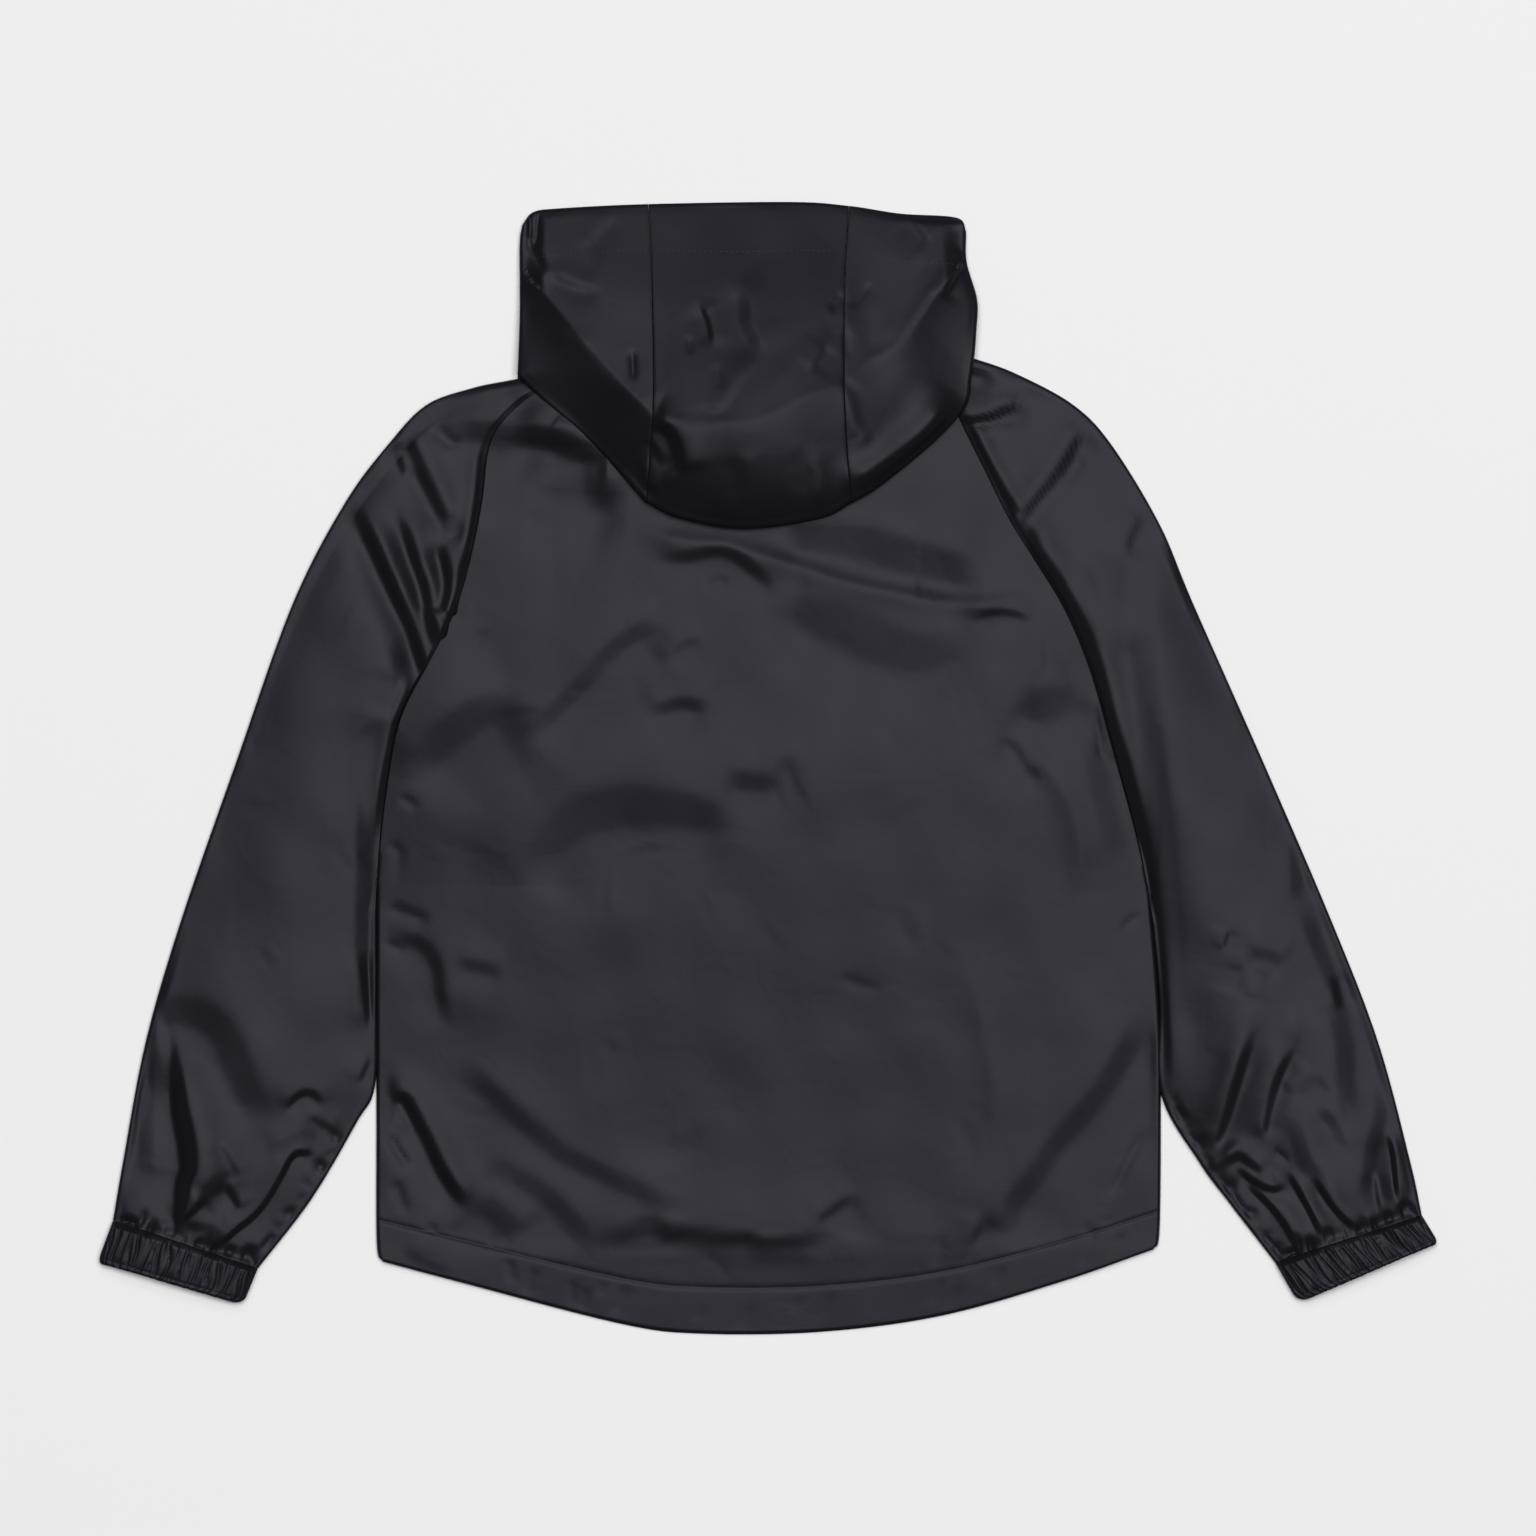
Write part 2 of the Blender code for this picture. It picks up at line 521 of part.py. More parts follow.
class Hood:
    """Two side panels and a centre panel, folded flat with the face edge at the top.

    A line of the hood runs from the face edge over the crown to the folded edge. Beyond
    the fold it goes on as a flap on the surface beside the face opening, or, above the
    shoulders, as a layer over the back that ends at the neck seam.
    """

    def __init__(self):
        self.face_edge = Curve(HOOD_FACE_EDGE)
        self.ridge = Curve(HOOD_RIDGE)
        self.centre_fold = Curve(HOOD_CENTRE_FOLD)
        self.neck = Curve(BACK_NECK)
        self.face_seams = {side: self.share_at(self.face_edge, x) for side, x in HOOD_SEAM_X.items()}
        self.neck_seams = {side: self.share_at(self.neck, x) for side, x in HOOD_SEAM_X.items()}

    @staticmethod
    def share_at(curve, x):
        """The fraction of a curve's length at which it reaches x."""
        return float(np.interp(x, curve.line[:, 0], curve.fractions))

    def crown(self, point):
        """Height of the hood's upper layer, away from its folded edges."""
        ridge_y = float(np.interp(point[0], self.ridge.line[:, 0], self.ridge.line[:, 1]))
        middle = math.exp(-(((point[0] - HOOD_MIDDLE_X) / HOOD_PEAK_REACH) ** 4))
        peak = between(HOOD_SIDE_PEAK, HOOD_PEAK, middle)
        if point[1] < ridge_y:
            return between(peak, min(peak, HOOD_LOWER_RISE), eased((ridge_y - point[1]) / 0.050))
        climb = (HOOD_FACE_Y - point[1]) / (HOOD_FACE_Y - ridge_y)
        return between(HOOD_FACE_RISE, peak, eased(climb))

    def upper_line(self, top, fold, inward, heights):
        """Points from the face edge over the crown to the fold's outermost line.

        inward is the angle of the fold's inward side in plan, from +X.
        """
        roll = min(heights.edge - heights.fold, 0.6 * np.linalg.norm(fold - top))
        last = fold + roll * np.array([math.cos(inward), math.sin(inward)])
        points = []
        for share in np.linspace(0, 1, HOOD_ROWS + 1):
            point = between(top, last, share)
            blend = eased((1 - share) * np.linalg.norm(last - top) / HOOD_BLEND)
            points.append((*point, between(heights.edge, self.crown(point), blend)))
        points[0] = (*top, HOOD_FACE_RISE)
        return points + quarter_turn(last, fold, heights.edge, heights.fold)

    def lower_line(self, path, heights, places=None):
        """Points from the fold's outermost line, under it and along a plan path to its end.

        places are the shares of the path's length at which its points lie. Without them
        the points are spread evenly.
        """
        shares = np.linspace(0, 1, len(path))
        length = sum(np.linalg.norm(b - a) for a, b in zip(path, path[1:]))
        room = 0.9 * places[0] if places else 0.45
        roll = min((heights.fold - heights.below) / length, room)
        plan = np.array(path)
        points = []
        for share in [roll, *places] if places else np.linspace(roll, 1, HOOD_UNDER_STEPS + 1):
            point = [np.interp(share, shares, column) for column in plan.T]
            points.append((*point, between(heights.below, heights.end, (share - roll) / (1 - roll))))
        turned = quarter_turn(np.array(points[0][:2]), path[0], heights.below, heights.fold)
        return turned[::-1] + points

    def side_heights(self, share):
        """Heights round the fold beside the face opening, from the top corner to the shoulder."""
        return FoldHeights(between(*HOOD_CORNER_RISES, share), between(*HOOD_SIDE_FOLD_RISES, share),
                           FLOOR_LAYER, FLOOR_LAYER)

    def lower_heights(self, share):
        """Heights round the fold over the back, from a shoulder to the centre panel."""
        end = between(*HOOD_NECK_RISES, eased(3 * share))
        share = eased(share)
        return FoldHeights(between(HOOD_CORNER_RISES[1], HOOD_EDGE_RISE, share),
                           between(HOOD_SIDE_FOLD_RISES[1], HOOD_FOLD_RISE, share),
                           between(*HOOD_BELOW_RISES, share), end)

    def flap_path(self, side, share, fold):
        """Plan path of a flap's line, from the side fold to the face opening or the front's neck."""
        opening = np.array([HOOD_OPENING_CORNERS[side], (SIGN[side] * ZIP_HALF_GAP, CHIN_Y),
                            (SIGN[side] * ZIP_HALF_GAP, FRONT_NECK_Y)])
        edge = np.array([np.interp(share, (0, 0.8, 1), column) for column in opening.T])
        neck_line = Curve(FRONT_NECKS[side])
        shoulder, chin = neck_line.at(0.0), neck_line.at(1.0)
        path = []
        for step in np.linspace(0, 1, FLAP_STEPS + 1):
            bend = neck_line.at(step) - between(shoulder, chin, step)
            path.append(between(fold, edge, step) + share**3 * bend)
        return path

    def build_side(self, side):
        """A side panel: its crown, its flap beside the face opening and its neck end."""
        inset = np.array([SIGN[side] * SEAM_INSET, 0.0])
        side_fold, lower_fold = Curve(HOOD_SIDE_FOLDS[side]), Curve(HOOD_LOWER_FOLDS[side])
        shoulder_seam = Curve(HOOD_SHOULDER_SEAMS[side])
        columns = HOOD_SIDE_COLUMNS + HOOD_LOWER_COLUMNS
        upper, flap, under = [], [], []
        for column in range(columns + 1):
            end = 0.0 if side == "left" else 1.0
            top = self.face_edge.at(between(end, self.face_seams[side], column / columns))
            beside = column <= HOOD_SIDE_COLUMNS
            if beside:
                share = column / HOOD_SIDE_COLUMNS
                fold, heights = side_fold.at(share), self.side_heights(share)
                turned = SHOULDER_TURN * share
            else:
                share = (column - HOOD_SIDE_COLUMNS) / HOOD_LOWER_COLUMNS
                fold, heights = lower_fold.at(share), self.lower_heights(share)
                turned = between(SHOULDER_TURN, math.pi / 2, share)
            at_seam = inset if column == columns else 0.0
            top, fold = top + at_seam, fold + at_seam
            inward = turned if side == "left" else math.pi - turned
            upper.append(self.upper_line(top, fold, inward, heights))
            if beside:
                places = [between(*pair, share**2) for pair in zip(CORNER_SHARES, FLAP_SHARES)]
                flap.append(self.lower_line(self.flap_path(side, share, fold), heights, places))
            if column >= HOOD_SIDE_COLUMNS:
                along = (column - HOOD_SIDE_COLUMNS) / HOOD_LOWER_COLUMNS
                path = [fold, shoulder_seam.at(along) + at_seam]
                under.append(self.lower_line(path, self.lower_heights(along)))
        return add_patches(f"hood_{side}", [upper, flap, under], flipped=side == "right")

    def build_centre(self):
        """The centre panel, from the face edge over the crown and under to the back's neck."""
        lines = []
        for column in range(HOOD_CENTRE_COLUMNS + 1):
            share = column / HOOD_CENTRE_COLUMNS
            inset = np.array([SEAM_INSET * (1 - 2 * share), 0.0]) if share in (0, 1) else 0.0
            top = self.face_edge.at(between(self.face_seams["left"], self.face_seams["right"], share))
            fold = self.centre_fold.at(share)
            end = self.neck.at(between(self.neck_seams["left"], self.neck_seams["right"], share))
            heights = self.lower_heights(1.0)
            line = self.upper_line(top + inset, fold + inset, math.pi / 2, heights)
            lines.append(line + self.lower_line([fold + inset, end + inset], heights)[1:])
        return add_patches("hood_centre", [lines])


# ---------------------------------------------------------------- zip
def add_bar(name, section, start_y, end_y, finish):
    """A cross-section in x and z pulled along Y from one place to another."""
    count = len(section)
    points = [(x, y, z) for y in (start_y, end_y) for x, z in section]
    faces = [tuple(range(count)), tuple(reversed(range(count, 2 * count)))]
    for first in range(count):
        second = (first + 1) % count
        faces.append((second, first, count + first, count + second))
    made = add_object(name, points, faces, finish)
    made.data.set_sharp_from_angle(angle=math.radians(30))
    return made


def combine(made, other, operation):
    """Join another object to this one, or cut it away, and keep that object out of sight."""
    boolean = made.modifiers.new(operation.lower(), "BOOLEAN")
    boolean.operation = operation
    boolean.object = other
    other.hide_render = True
    other.display_type = "WIRE"


def box_outline(half_width, start_y, end_y, chamfer):
    """A rectangle across the zip's line with its corners cut off, anticlockwise."""
    x, c = half_width, chamfer
    return [(x - c, start_y), (x, start_y + c), (x, end_y - c), (x - c, end_y),
            (c - x, end_y), (-x, end_y - c), (-x, start_y + c), (c - x, start_y)]


def build_zip(hem_y):
    """The closed zip: tapes and chain in one, the slider at the chin, and its pull tab."""
    tape_low, tape_high = STACKED, STACKED + TAPE_WALL
    raised = (CHAIN_LOW + CHAIN_HIGH - TAPE_WALL) / 2
    half = [(CHAIN_HALF_WIDTH, CHAIN_LOW), (CHAIN_HALF_WIDTH, raised), (ZIP_HALF_GAP, tape_low),
            (TAPE_HALF_WIDTH, tape_low), (TAPE_HALF_WIDTH, tape_high), (ZIP_HALF_GAP, tape_high),
            (CHAIN_HALF_WIDTH, raised + TAPE_WALL), (CHAIN_HALF_WIDTH, CHAIN_HIGH)]
    section = half + [(-x, z) for x, z in reversed(half)]
    slider_start = PULL_AXIS_Y - SLIDER_LENGTH / 2
    add_bar("zip", section, hem_y + ZIP_HEM_MARGIN, slider_start - SEAM_GAP, "zip_tape")

    outline = box_outline(SLIDER_HALF_WIDTH, slider_start, slider_start + SLIDER_LENGTH,
                          SLIDER_CHAMFER)
    slider = add_plate("zip_slider", outline, SLIDER_LOW, SLIDER_HIGH, "zip_metal")
    combine(slider, add_bow(slider_start), "UNION")

    tab_half = PULL_WALL / 2
    outline = box_outline(PULL_HALF_WIDTH, -PULL_LENGTH, tab_half, PULL_CHAMFER)
    tab = add_plate("zip_pull", outline, -tab_half, tab_half, "zip_metal")
    outline = box_outline(EYE_HALF_WIDTH, -EYE_LENGTH, -tab_half, EYE_CHAMFER)
    eye = add_plate("zip_pull_eye", outline, -PULL_WALL, PULL_WALL, "zip_metal")
    combine(tab, eye, "DIFFERENCE")
    for piece in (tab, eye):
        piece.location = (0.0, PULL_AXIS_Y, PULL_AXIS_Z)


def add_bow(slider_start):
    """The slider's bow: a strap that the pull tab's bar turns in, drawn in its side view."""
    low, inner = BOW_LOW, BOW_LOW + BOW_WALL
    start, end = slider_start + BOW_MARGIN, slider_start + SLIDER_LENGTH - BOW_MARGIN
    fixed, free = SLIDER_LOW + BOW_OVERLAP, SLIDER_LOW - BOW_CLEARANCE
    profile = [(start, inner), (start + BOW_WALL, low), (end - BOW_WALL, low), (end, inner),
               (end, fixed), (end - 2 * BOW_WALL, fixed), (end - 2 * BOW_WALL, inner),
               (start + BOW_WALL, inner), (start + BOW_WALL, free), (start, free)]
    count = len(profile)
    points = [(x, y, z) for x in (-BOW_HALF_WIDTH, BOW_HALF_WIDTH) for y, z in profile]
    faces = [tuple(reversed(range(count))), tuple(range(count, 2 * count))]
    for first in range(count):
        second = (first + 1) % count
        faces.append((first, second, count + second, count + first))
    return add_object("zip_bow", points, faces, "zip_metal")


def build():
    """Make every piece of the jacket."""
    for leftover in list(bpy.data.objects):
        bpy.data.objects.remove(leftover, do_unlink=True)
    sleeves = {side: Sleeve(side) for side in SIGN}
    body = Body(sleeves)
    body.build_back()
    hood = Hood()
    hood.build_centre()
    for side, sleeve in sleeves.items():
        body.build_front(side)
        sleeve.build()
        sleeve.build_cuff()
        hood.build_side(side)
    build_zip(body.front_hem(0.0))


build()
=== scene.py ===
"""The looks of a child's hooded raglan rain jacket, zipped up and laid on its fronts, back up.

Metres, +Z up. +Y runs from the hem to the hood and +X to the right of the back.
Plan points and creases are written in millimetres.
"""

import logging
import math
from dataclasses import dataclass
from enum import Enum
from typing import Callable, Iterable, Sequence

import bmesh
import bpy
import numpy as np
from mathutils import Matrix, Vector


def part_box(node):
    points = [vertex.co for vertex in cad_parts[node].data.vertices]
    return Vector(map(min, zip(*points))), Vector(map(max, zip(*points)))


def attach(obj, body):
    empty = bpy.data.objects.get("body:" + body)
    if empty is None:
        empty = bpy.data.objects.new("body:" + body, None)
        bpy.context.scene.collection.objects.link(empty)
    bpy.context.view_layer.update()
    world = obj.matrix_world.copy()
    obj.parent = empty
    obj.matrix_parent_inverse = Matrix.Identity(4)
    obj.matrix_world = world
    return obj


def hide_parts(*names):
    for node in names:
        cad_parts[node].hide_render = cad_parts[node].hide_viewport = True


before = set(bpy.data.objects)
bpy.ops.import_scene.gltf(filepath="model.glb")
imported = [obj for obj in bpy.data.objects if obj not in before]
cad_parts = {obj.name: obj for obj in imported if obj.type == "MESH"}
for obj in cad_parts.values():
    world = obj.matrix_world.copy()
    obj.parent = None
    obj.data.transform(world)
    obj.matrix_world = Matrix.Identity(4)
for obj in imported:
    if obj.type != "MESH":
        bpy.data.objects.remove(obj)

LOG = logging.getLogger("rain_jacket")
MM = 0.001
Array = np.ndarray
Value = np.ndarray | float
Pair = tuple[float, float]
Point = Pair  # in millimetres
Floats = tuple[float, ...]
Triple = tuple[float, float, float]
Material = bpy.types.Material
Piece = bpy.types.Object
Socket = bpy.types.NodeSocket


class Side(Enum):
    """The two sides of the jacket, as seen on its back."""

    LEFT = "left"
    RIGHT = "right"

    @property
    def sign(self) -> float:
        """Direction of the side along X."""
        return -1.0 if self is Side.LEFT else 1.0


class Form(Enum):
    """How the cloth rises across a crease."""

    DROP = "drop"  # high on its lit side, low on the other
    RIDGE = "ridge"
    GROOVE = "groove"


# ---------------------------------------------------------------- shared sizes
@dataclass(frozen=True)
class ClothSizes:
    """Walls and heights that several pieces share, in metres."""

    wall: float = 0.0008
    floor_layer: float = 0.0006
    side_rise: float = 0.0021  # height of the back's edge over the fronts
    neck_share: float = 0.045  # part of a sleeve's upper end that lies under the hood
    seam_inset: float = 0.0002
    fold_radius: float = 0.0018
    turn_high: float = 0.0040  # top of the turn at a folded or a side edge
    turn_reach: float = 0.0013  # its width
    raglan_width: float = 0.310
    seam_overlap: float = 0.0026  # how far a sleeve runs on under the edge of the back
    seam_drop: float = 0.0015  # how far it goes down to do so
    casing: float = 0.0240  # depth of the hem's casing along the side seams
    crease_margin: float = 0.006  # strip along an edge in which creases fade
    dip_width: float = 0.0008  # of the dip beside a sewn line


SIZES = ClothSizes()
EDGE_STEPS = np.array([0.0, 0.0004, 0.0010, 0.0018, 0.0030])  # fine columns beside a seam
FOLD_STEPS = np.array([0.0, 0.0003, 0.0010, 0.0021, 0.0036, 0.0056])  # and beside a fold


def eased(value: Value) -> Value:
    """0 below 0, 1 above 1 and a soft step between."""
    value = np.clip(value, 0.0, 1.0)
    return value * value * (3 - 2 * value)


def turned(distance: Value, reach: float) -> Value:
    """A quarter turn of the cloth: 0 at its outermost line and 1 from a distance inwards."""
    return np.sqrt(1 - (1 - np.clip(distance / reach, 0.0, 1.0)) ** 2)


def beside(distance: Value, width: float) -> Value:
    """1 on a line, falling to 0 over a width beside it."""
    return np.exp(-((distance / width) ** 2))


def between(start: Value, end: Value, share: Value) -> Value:
    """The value a share of the way from start to end."""
    return start + (end - start) * share


def graded(start: Array, count: int, end: Array) -> Array:
    """Places that are fine at their start and end and even between."""
    return np.concatenate([start, np.linspace(start[-1], end[0], count)[1:-1], end])


def along_line(places: Value, stations: Array, points: Array) -> Array:
    """Points at places along a line, whose own points lie at the stations."""
    return np.stack([np.interp(places, stations, column) for column in points.T], axis=-1)


class Curve:
    """A smooth plan line through a few points given in millimetres."""

    def __init__(self, points: Sequence[Point], samples: int = 16) -> None:
        """Samples the line.

        Args:
            points: plan points that the line runs through, in millimetres.
            samples: straight steps between two of them.
        """
        knots = np.array(points, float) * MM
        knots = np.vstack([2 * knots[0] - knots[1], knots, 2 * knots[-1] - knots[-2]])
        t = np.linspace(0, 1, samples, endpoint=False)[:, None]
        spans = [0.5 * (2 * b + (c - a) * t + (2 * a - 5 * b + 4 * c - d) * t**2
                        + (3 * b - a - 3 * c + d) * t**3)
                 for a, b, c, d in zip(knots, knots[1:], knots[2:], knots[3:])]
        self.line = np.vstack([*spans, knots[-2:-1]])
        steps = np.linalg.norm(np.diff(self.line, axis=0), axis=1)
        self.length = float(steps.sum())
        self.fractions = np.concatenate([[0.0], np.cumsum(steps)]) / self.length

    def at(self, fraction: Value) -> Array:
        """Plan points at fractions of the length."""
        return along_line(fraction, self.fractions, self.line)

    def share_at(self, x: float) -> float:
        """The fraction of the length at which a line that runs to the right passes x."""
        return float(np.interp(x, self.line[:, 0], self.fractions))

    def beside(self, fraction: Value, distance: Value, step: float = 0.01) -> Array:
        """Points moved to the left of the line.

        Args:
            fraction: places along the line, as fractions of its length.
            distance: how far to move them, in metres.
            step: fraction of the length over which its direction is read, each way.

        Returns:
            The plan points in metres.
        """
        ahead = (self.at(np.minimum(np.asarray(fraction) + step, 1.0))
                 - self.at(np.maximum(np.asarray(fraction) - step, 0.0)))
        left = np.stack([-ahead[..., 1], ahead[..., 0]], axis=-1)
        left = left / np.linalg.norm(left, axis=-1, keepdims=True)
        return self.at(fraction) + np.asarray(distance)[..., None] * left

    def offsets(self, points: Array) -> tuple[Array, Array]:
        """How far points are from the line.

        Args:
            points: plan points in metres, one a row.

        Returns:
            Their distances, above zero on the left of the line, and the fractions of the
            length at which the nearest places lie.
        """
        start, step = self.line[:-1], np.diff(self.line, axis=0)
        away = points[:, None, :] - start[None]
        share = np.clip((away * step).sum(-1) / (step * step).sum(-1), 0.0, 1.0)
        gap = away - share[..., None] * step
        nearest = (gap * gap).sum(-1).argmin(axis=1)
        rows = np.arange(len(points))
        gap, along = gap[rows, nearest], step[nearest]
        side = along[:, 0] * gap[:, 1] - along[:, 1] * gap[:, 0]
        fraction = between(self.fractions[nearest], self.fractions[nearest + 1],
                           share[rows, nearest])
        return np.copysign(np.linalg.norm(gap, axis=1), side), fraction


# ---------------------------------------------------------------- creases
REACHES = {Form.DROP: 2.2, Form.RIDGE: 2.9, Form.GROOVE: 2.9}  # in widths of its wider side
SHARPNESS = {Form.RIDGE: 1.7, Form.GROOVE: 1.4}  # powers of the fall beside the line
CREST_SHIFT = 0.7  # from a ridge's line to its crest, in widths of its lit side


@dataclass(frozen=True)
class Crease:
    """A crease given in millimetres.

    Its lit side is the one towards the hood, or the right one where it runs straight down.
    """

    form: Form
    line: tuple[Point, ...]
    rise: float
    lit: float
    dark: float
    width: float = 0.0  # of a drop's slope
    flare: float = 1.0  # its width at the line's end, as a share of that at the start
    belly: float = 1.0  # how many times as wide it is half way
    fade: Pair = (0.3, 0.3)

    @property
    def reach(self) -> float:
        """How far from its line a crease still counts, in metres."""
        return MM * max(self.lit, self.dark) * REACHES[self.form]

    def profile(self, side: Array, place: Array) -> Array:
        """Height across the crease.

        Args:
            side: distances from its line, above zero on its lit side, in metres.
            place: how far along its line each is, as a fraction of its length.

        Returns:
            Heights in metres, before the crease fades at its ends.
        """
        side = side / MM
        if self.form is Form.DROP:
            flare = ((1 + (self.flare - 1) * place)
                     * (1 + (self.belly - 1) * 4 * place * (1 - place)))
            half = self.width * flare / 2
            slope = side / half / (1 + np.abs(side / half) ** 6) ** (1 / 6)
            away = np.maximum(0.0, np.abs(side) - half)
            tail = np.where(side > 0, self.lit, self.dark)
            return MM * 0.5 * self.rise * flare * slope * beside(away, tail)
        if self.form is Form.RIDGE:
            side = side + CREST_SHIFT * self.lit
        width = np.where(side > 0, self.lit, self.dark)
        return MM * self.rise * np.exp(-np.abs(side / width) ** SHARPNESS[self.form])


def drop(slope: float, width: float, *line: Point, flare: float = 1.0, belly: float = 1.0,
         tail: float = 10.0, fade: Pair = (0.3, 0.3)) -> Crease:
    """A slope of a width at its line's start, flare times as wide at its end.

    Args:
        slope: how steep it is; below zero it faces the lit side.
        width: its width at the line's start, in millimetres.
        line: plan points along its middle, in millimetres.
        flare: its width at the line's end, as a share of the width at the start.
        belly: how many times as wide it is half way.
        tail: length in which the cloth recovers beside it, as a share of its rise.
        fade: shares of its length in which it fades in and out.

    Returns:
        The crease.
    """
    rise = slope * width
    reach = abs(rise) * tail * max(1.0, flare, 0.8 * belly)
    return Crease(Form.DROP, line, rise, reach, reach, width, flare, belly, fade)


def ridge(rise: float, lit: float, dark: float, *line: Point, fade: Pair = (0.3, 0.3)) -> Crease:
    """A ridge whose lit slope lies on the line."""
    return Crease(Form.RIDGE, line, rise, lit, dark, fade=fade)


def groove(slope: float, width: float, *line: Point, fade: Pair = (0.3, 0.3)) -> Crease:
    """A pinched line, with the same slope and width on both sides."""
    return Crease(Form.GROOVE, line, -slope * width * 1.2, width, width, fade=fade)


class Relief:
    """All the creases of some pieces, read at plan points."""

    def __init__(self, creases: Iterable[Crease]) -> None:
        """Makes each crease's line a curve."""
        self.creases = [(crease, Curve(crease.line, 6)) for crease in creases]

    @staticmethod
    def lit_side(curve: Curve) -> float:
        """1 where a line's left side is its lit one, -1 where the right side is."""
        x, y = curve.line[-1] - curve.line[0]
        return 1.0 if x - 0.25 * y > 0 else -1.0

    def heights(self, points: Array) -> Array:
        """The sum of the creases.

        Args:
            points: plan points in metres, in an array of any shape whose last axis is X, Y.

        Returns:
            Heights in metres, in the same shape without its last axis.
        """
        flat = points.reshape(-1, 2)
        total = np.zeros(len(flat))
        for crease, curve in self.creases:
            low, high = curve.line.min(0) - crease.reach, curve.line.max(0) + crease.reach
            near = np.flatnonzero(((flat > low) & (flat < high)).all(axis=1))
            if not near.size:
                continue
            side, place = curve.offsets(flat[near])
            start, end = (max(share, 1e-4) for share in crease.fade)
            fade = eased(place / start + 0.02) * eased((1 - place) / end + 0.02)
            total[near] += fade * crease.profile(side * self.lit_side(curve), place)
        return total.reshape(points.shape[:-1])


def swell(points: Array, height: float) -> Array:
    """A soft unevenness of the cloth.

    Args:
        points: plan points in metres, X and Y on the last axis.
        height: about how far it rises and falls.

    Returns:
        Heights in metres.
    """
    x, y = points[..., 0], points[..., 1]
    waves = ((61.0, 23.0, 0.4), (-34.0, 57.0, 2.1), (93.0, -71.0, 4.4), (17.0, 118.0, 1.3),
             (-131.0, -48.0, 5.2))
    total = sum(np.sin(a * x + b * y + c + 0.8 * np.sin(0.37 * b * x - 0.41 * a * y))
                for a, b, c in waves)
    return height * total / 2.2


def faint_creases(seed: int, count: int, low: Point, high: Point, slope: float) -> list[Crease]:
    """Short soft creases spread over an area.

    Args:
        seed: start of their random places.
        count: how many.
        low: lowest corner of the area, in millimetres.
        high: highest corner.
        slope: slope of the strongest.

    Returns:
        The creases.
    """
    random = np.random.default_rng(seed)
    made = []
    for _ in range(count):
        middle = random.uniform(low, high)
        turn, length = random.uniform(0, math.pi), random.uniform(14, 38)
        along = np.array([math.cos(turn), math.sin(turn)]) * length / 2
        bow = np.array([-along[1], along[0]]) * random.uniform(-0.3, 0.3)
        line = tuple(map(tuple, (middle - along, middle + bow, middle + along)))
        made.append(drop(slope * random.uniform(0.3, 1.0), random.uniform(4, 9), *line,
                         fade=(0.5, 0.5)))
    return made


def puckers(seed: int, seam: Sequence[Point], spacing: float, length: float,
            slope: float) -> list[Crease]:
    """Short uneven puckers across a line of stitches.

    Args:
        seed: start of their random places.
        seam: plan points of the stitches, in millimetres.
        spacing: space between two puckers, about, in millimetres.
        length: their length, about.
        slope: slope of the steepest.

    Returns:
        The creases.
    """
    random = np.random.default_rng(seed)
    curve = Curve(seam)
    count = max(2, int(curve.length / MM / spacing))
    made = []
    for number in range(count):
        place = (number + random.uniform(0.15, 0.85)) / count
        start = curve.beside(place, random.uniform(-0.3, 0.1) * length * MM) / MM
        end = curve.beside(place, random.uniform(0.35, 0.9) * length * MM) / MM
        made.append(groove(slope * random.uniform(0.25, 1.0) ** 1.5, random.uniform(1.6, 3.0),
                           tuple(start), tuple((start + end) / 2), tuple(end), fade=(0.4, 0.6)))
    return made


def cuff_puckers() -> list[Crease]:
    """Puckers on both sides of the cuffs' seams, and on the inner folds above them.

    Returns:
        The creases.
    """
    made = []
    for side, turn, fold_points in ((Side.LEFT, 1, 3), (Side.RIGHT, -1, 4)):
        plan = SLEEVE_PLANS[side]
        seam = (plan["outer"][-1], plan["inner"][-1])
        fold = plan["inner"][:-1 - fold_points:-1]
        for seed, line, spacing, length, slope in (
                (13, seam, 3.6, 15.0, SHARP), (17, plan["cuff_end"], 4.6, 17.0, DEEP),
                (19, fold, 4.5, 15.0, DEEP)):
            made += puckers(seed, line[::turn], spacing, length, slope)
    return made


SOFT, MILD, FIRM, DEEP, SHARP = 0.14, 0.19, 0.25, 0.45, 0.85  # slopes of creases

HEM_STITCHES = ((-222, -262), (-190, -267), (-145, -279), (-95, -292), (-50, -298.5), (0, -300),
                (45, -297), (95, -290), (130, -280), (170, -269), (222, -254))

SHARED_CREASES = [
    # fold over the left shoulder
    drop(FIRM, 9, (-194, 194), (-165, 193), (-145, 190), (-122, 187), (-96, 179), belly=1.8),
    drop(FIRM, 9, (-152, 211), (-138, 210), (-120, 203), tail=3, fade=(.4, .05)),
    drop(SHARP, 3, (-152, 196), (-138, 193), (-120, 188), (-90, 176), belly=2.4, tail=3,
         fade=(.3, .05)),
]

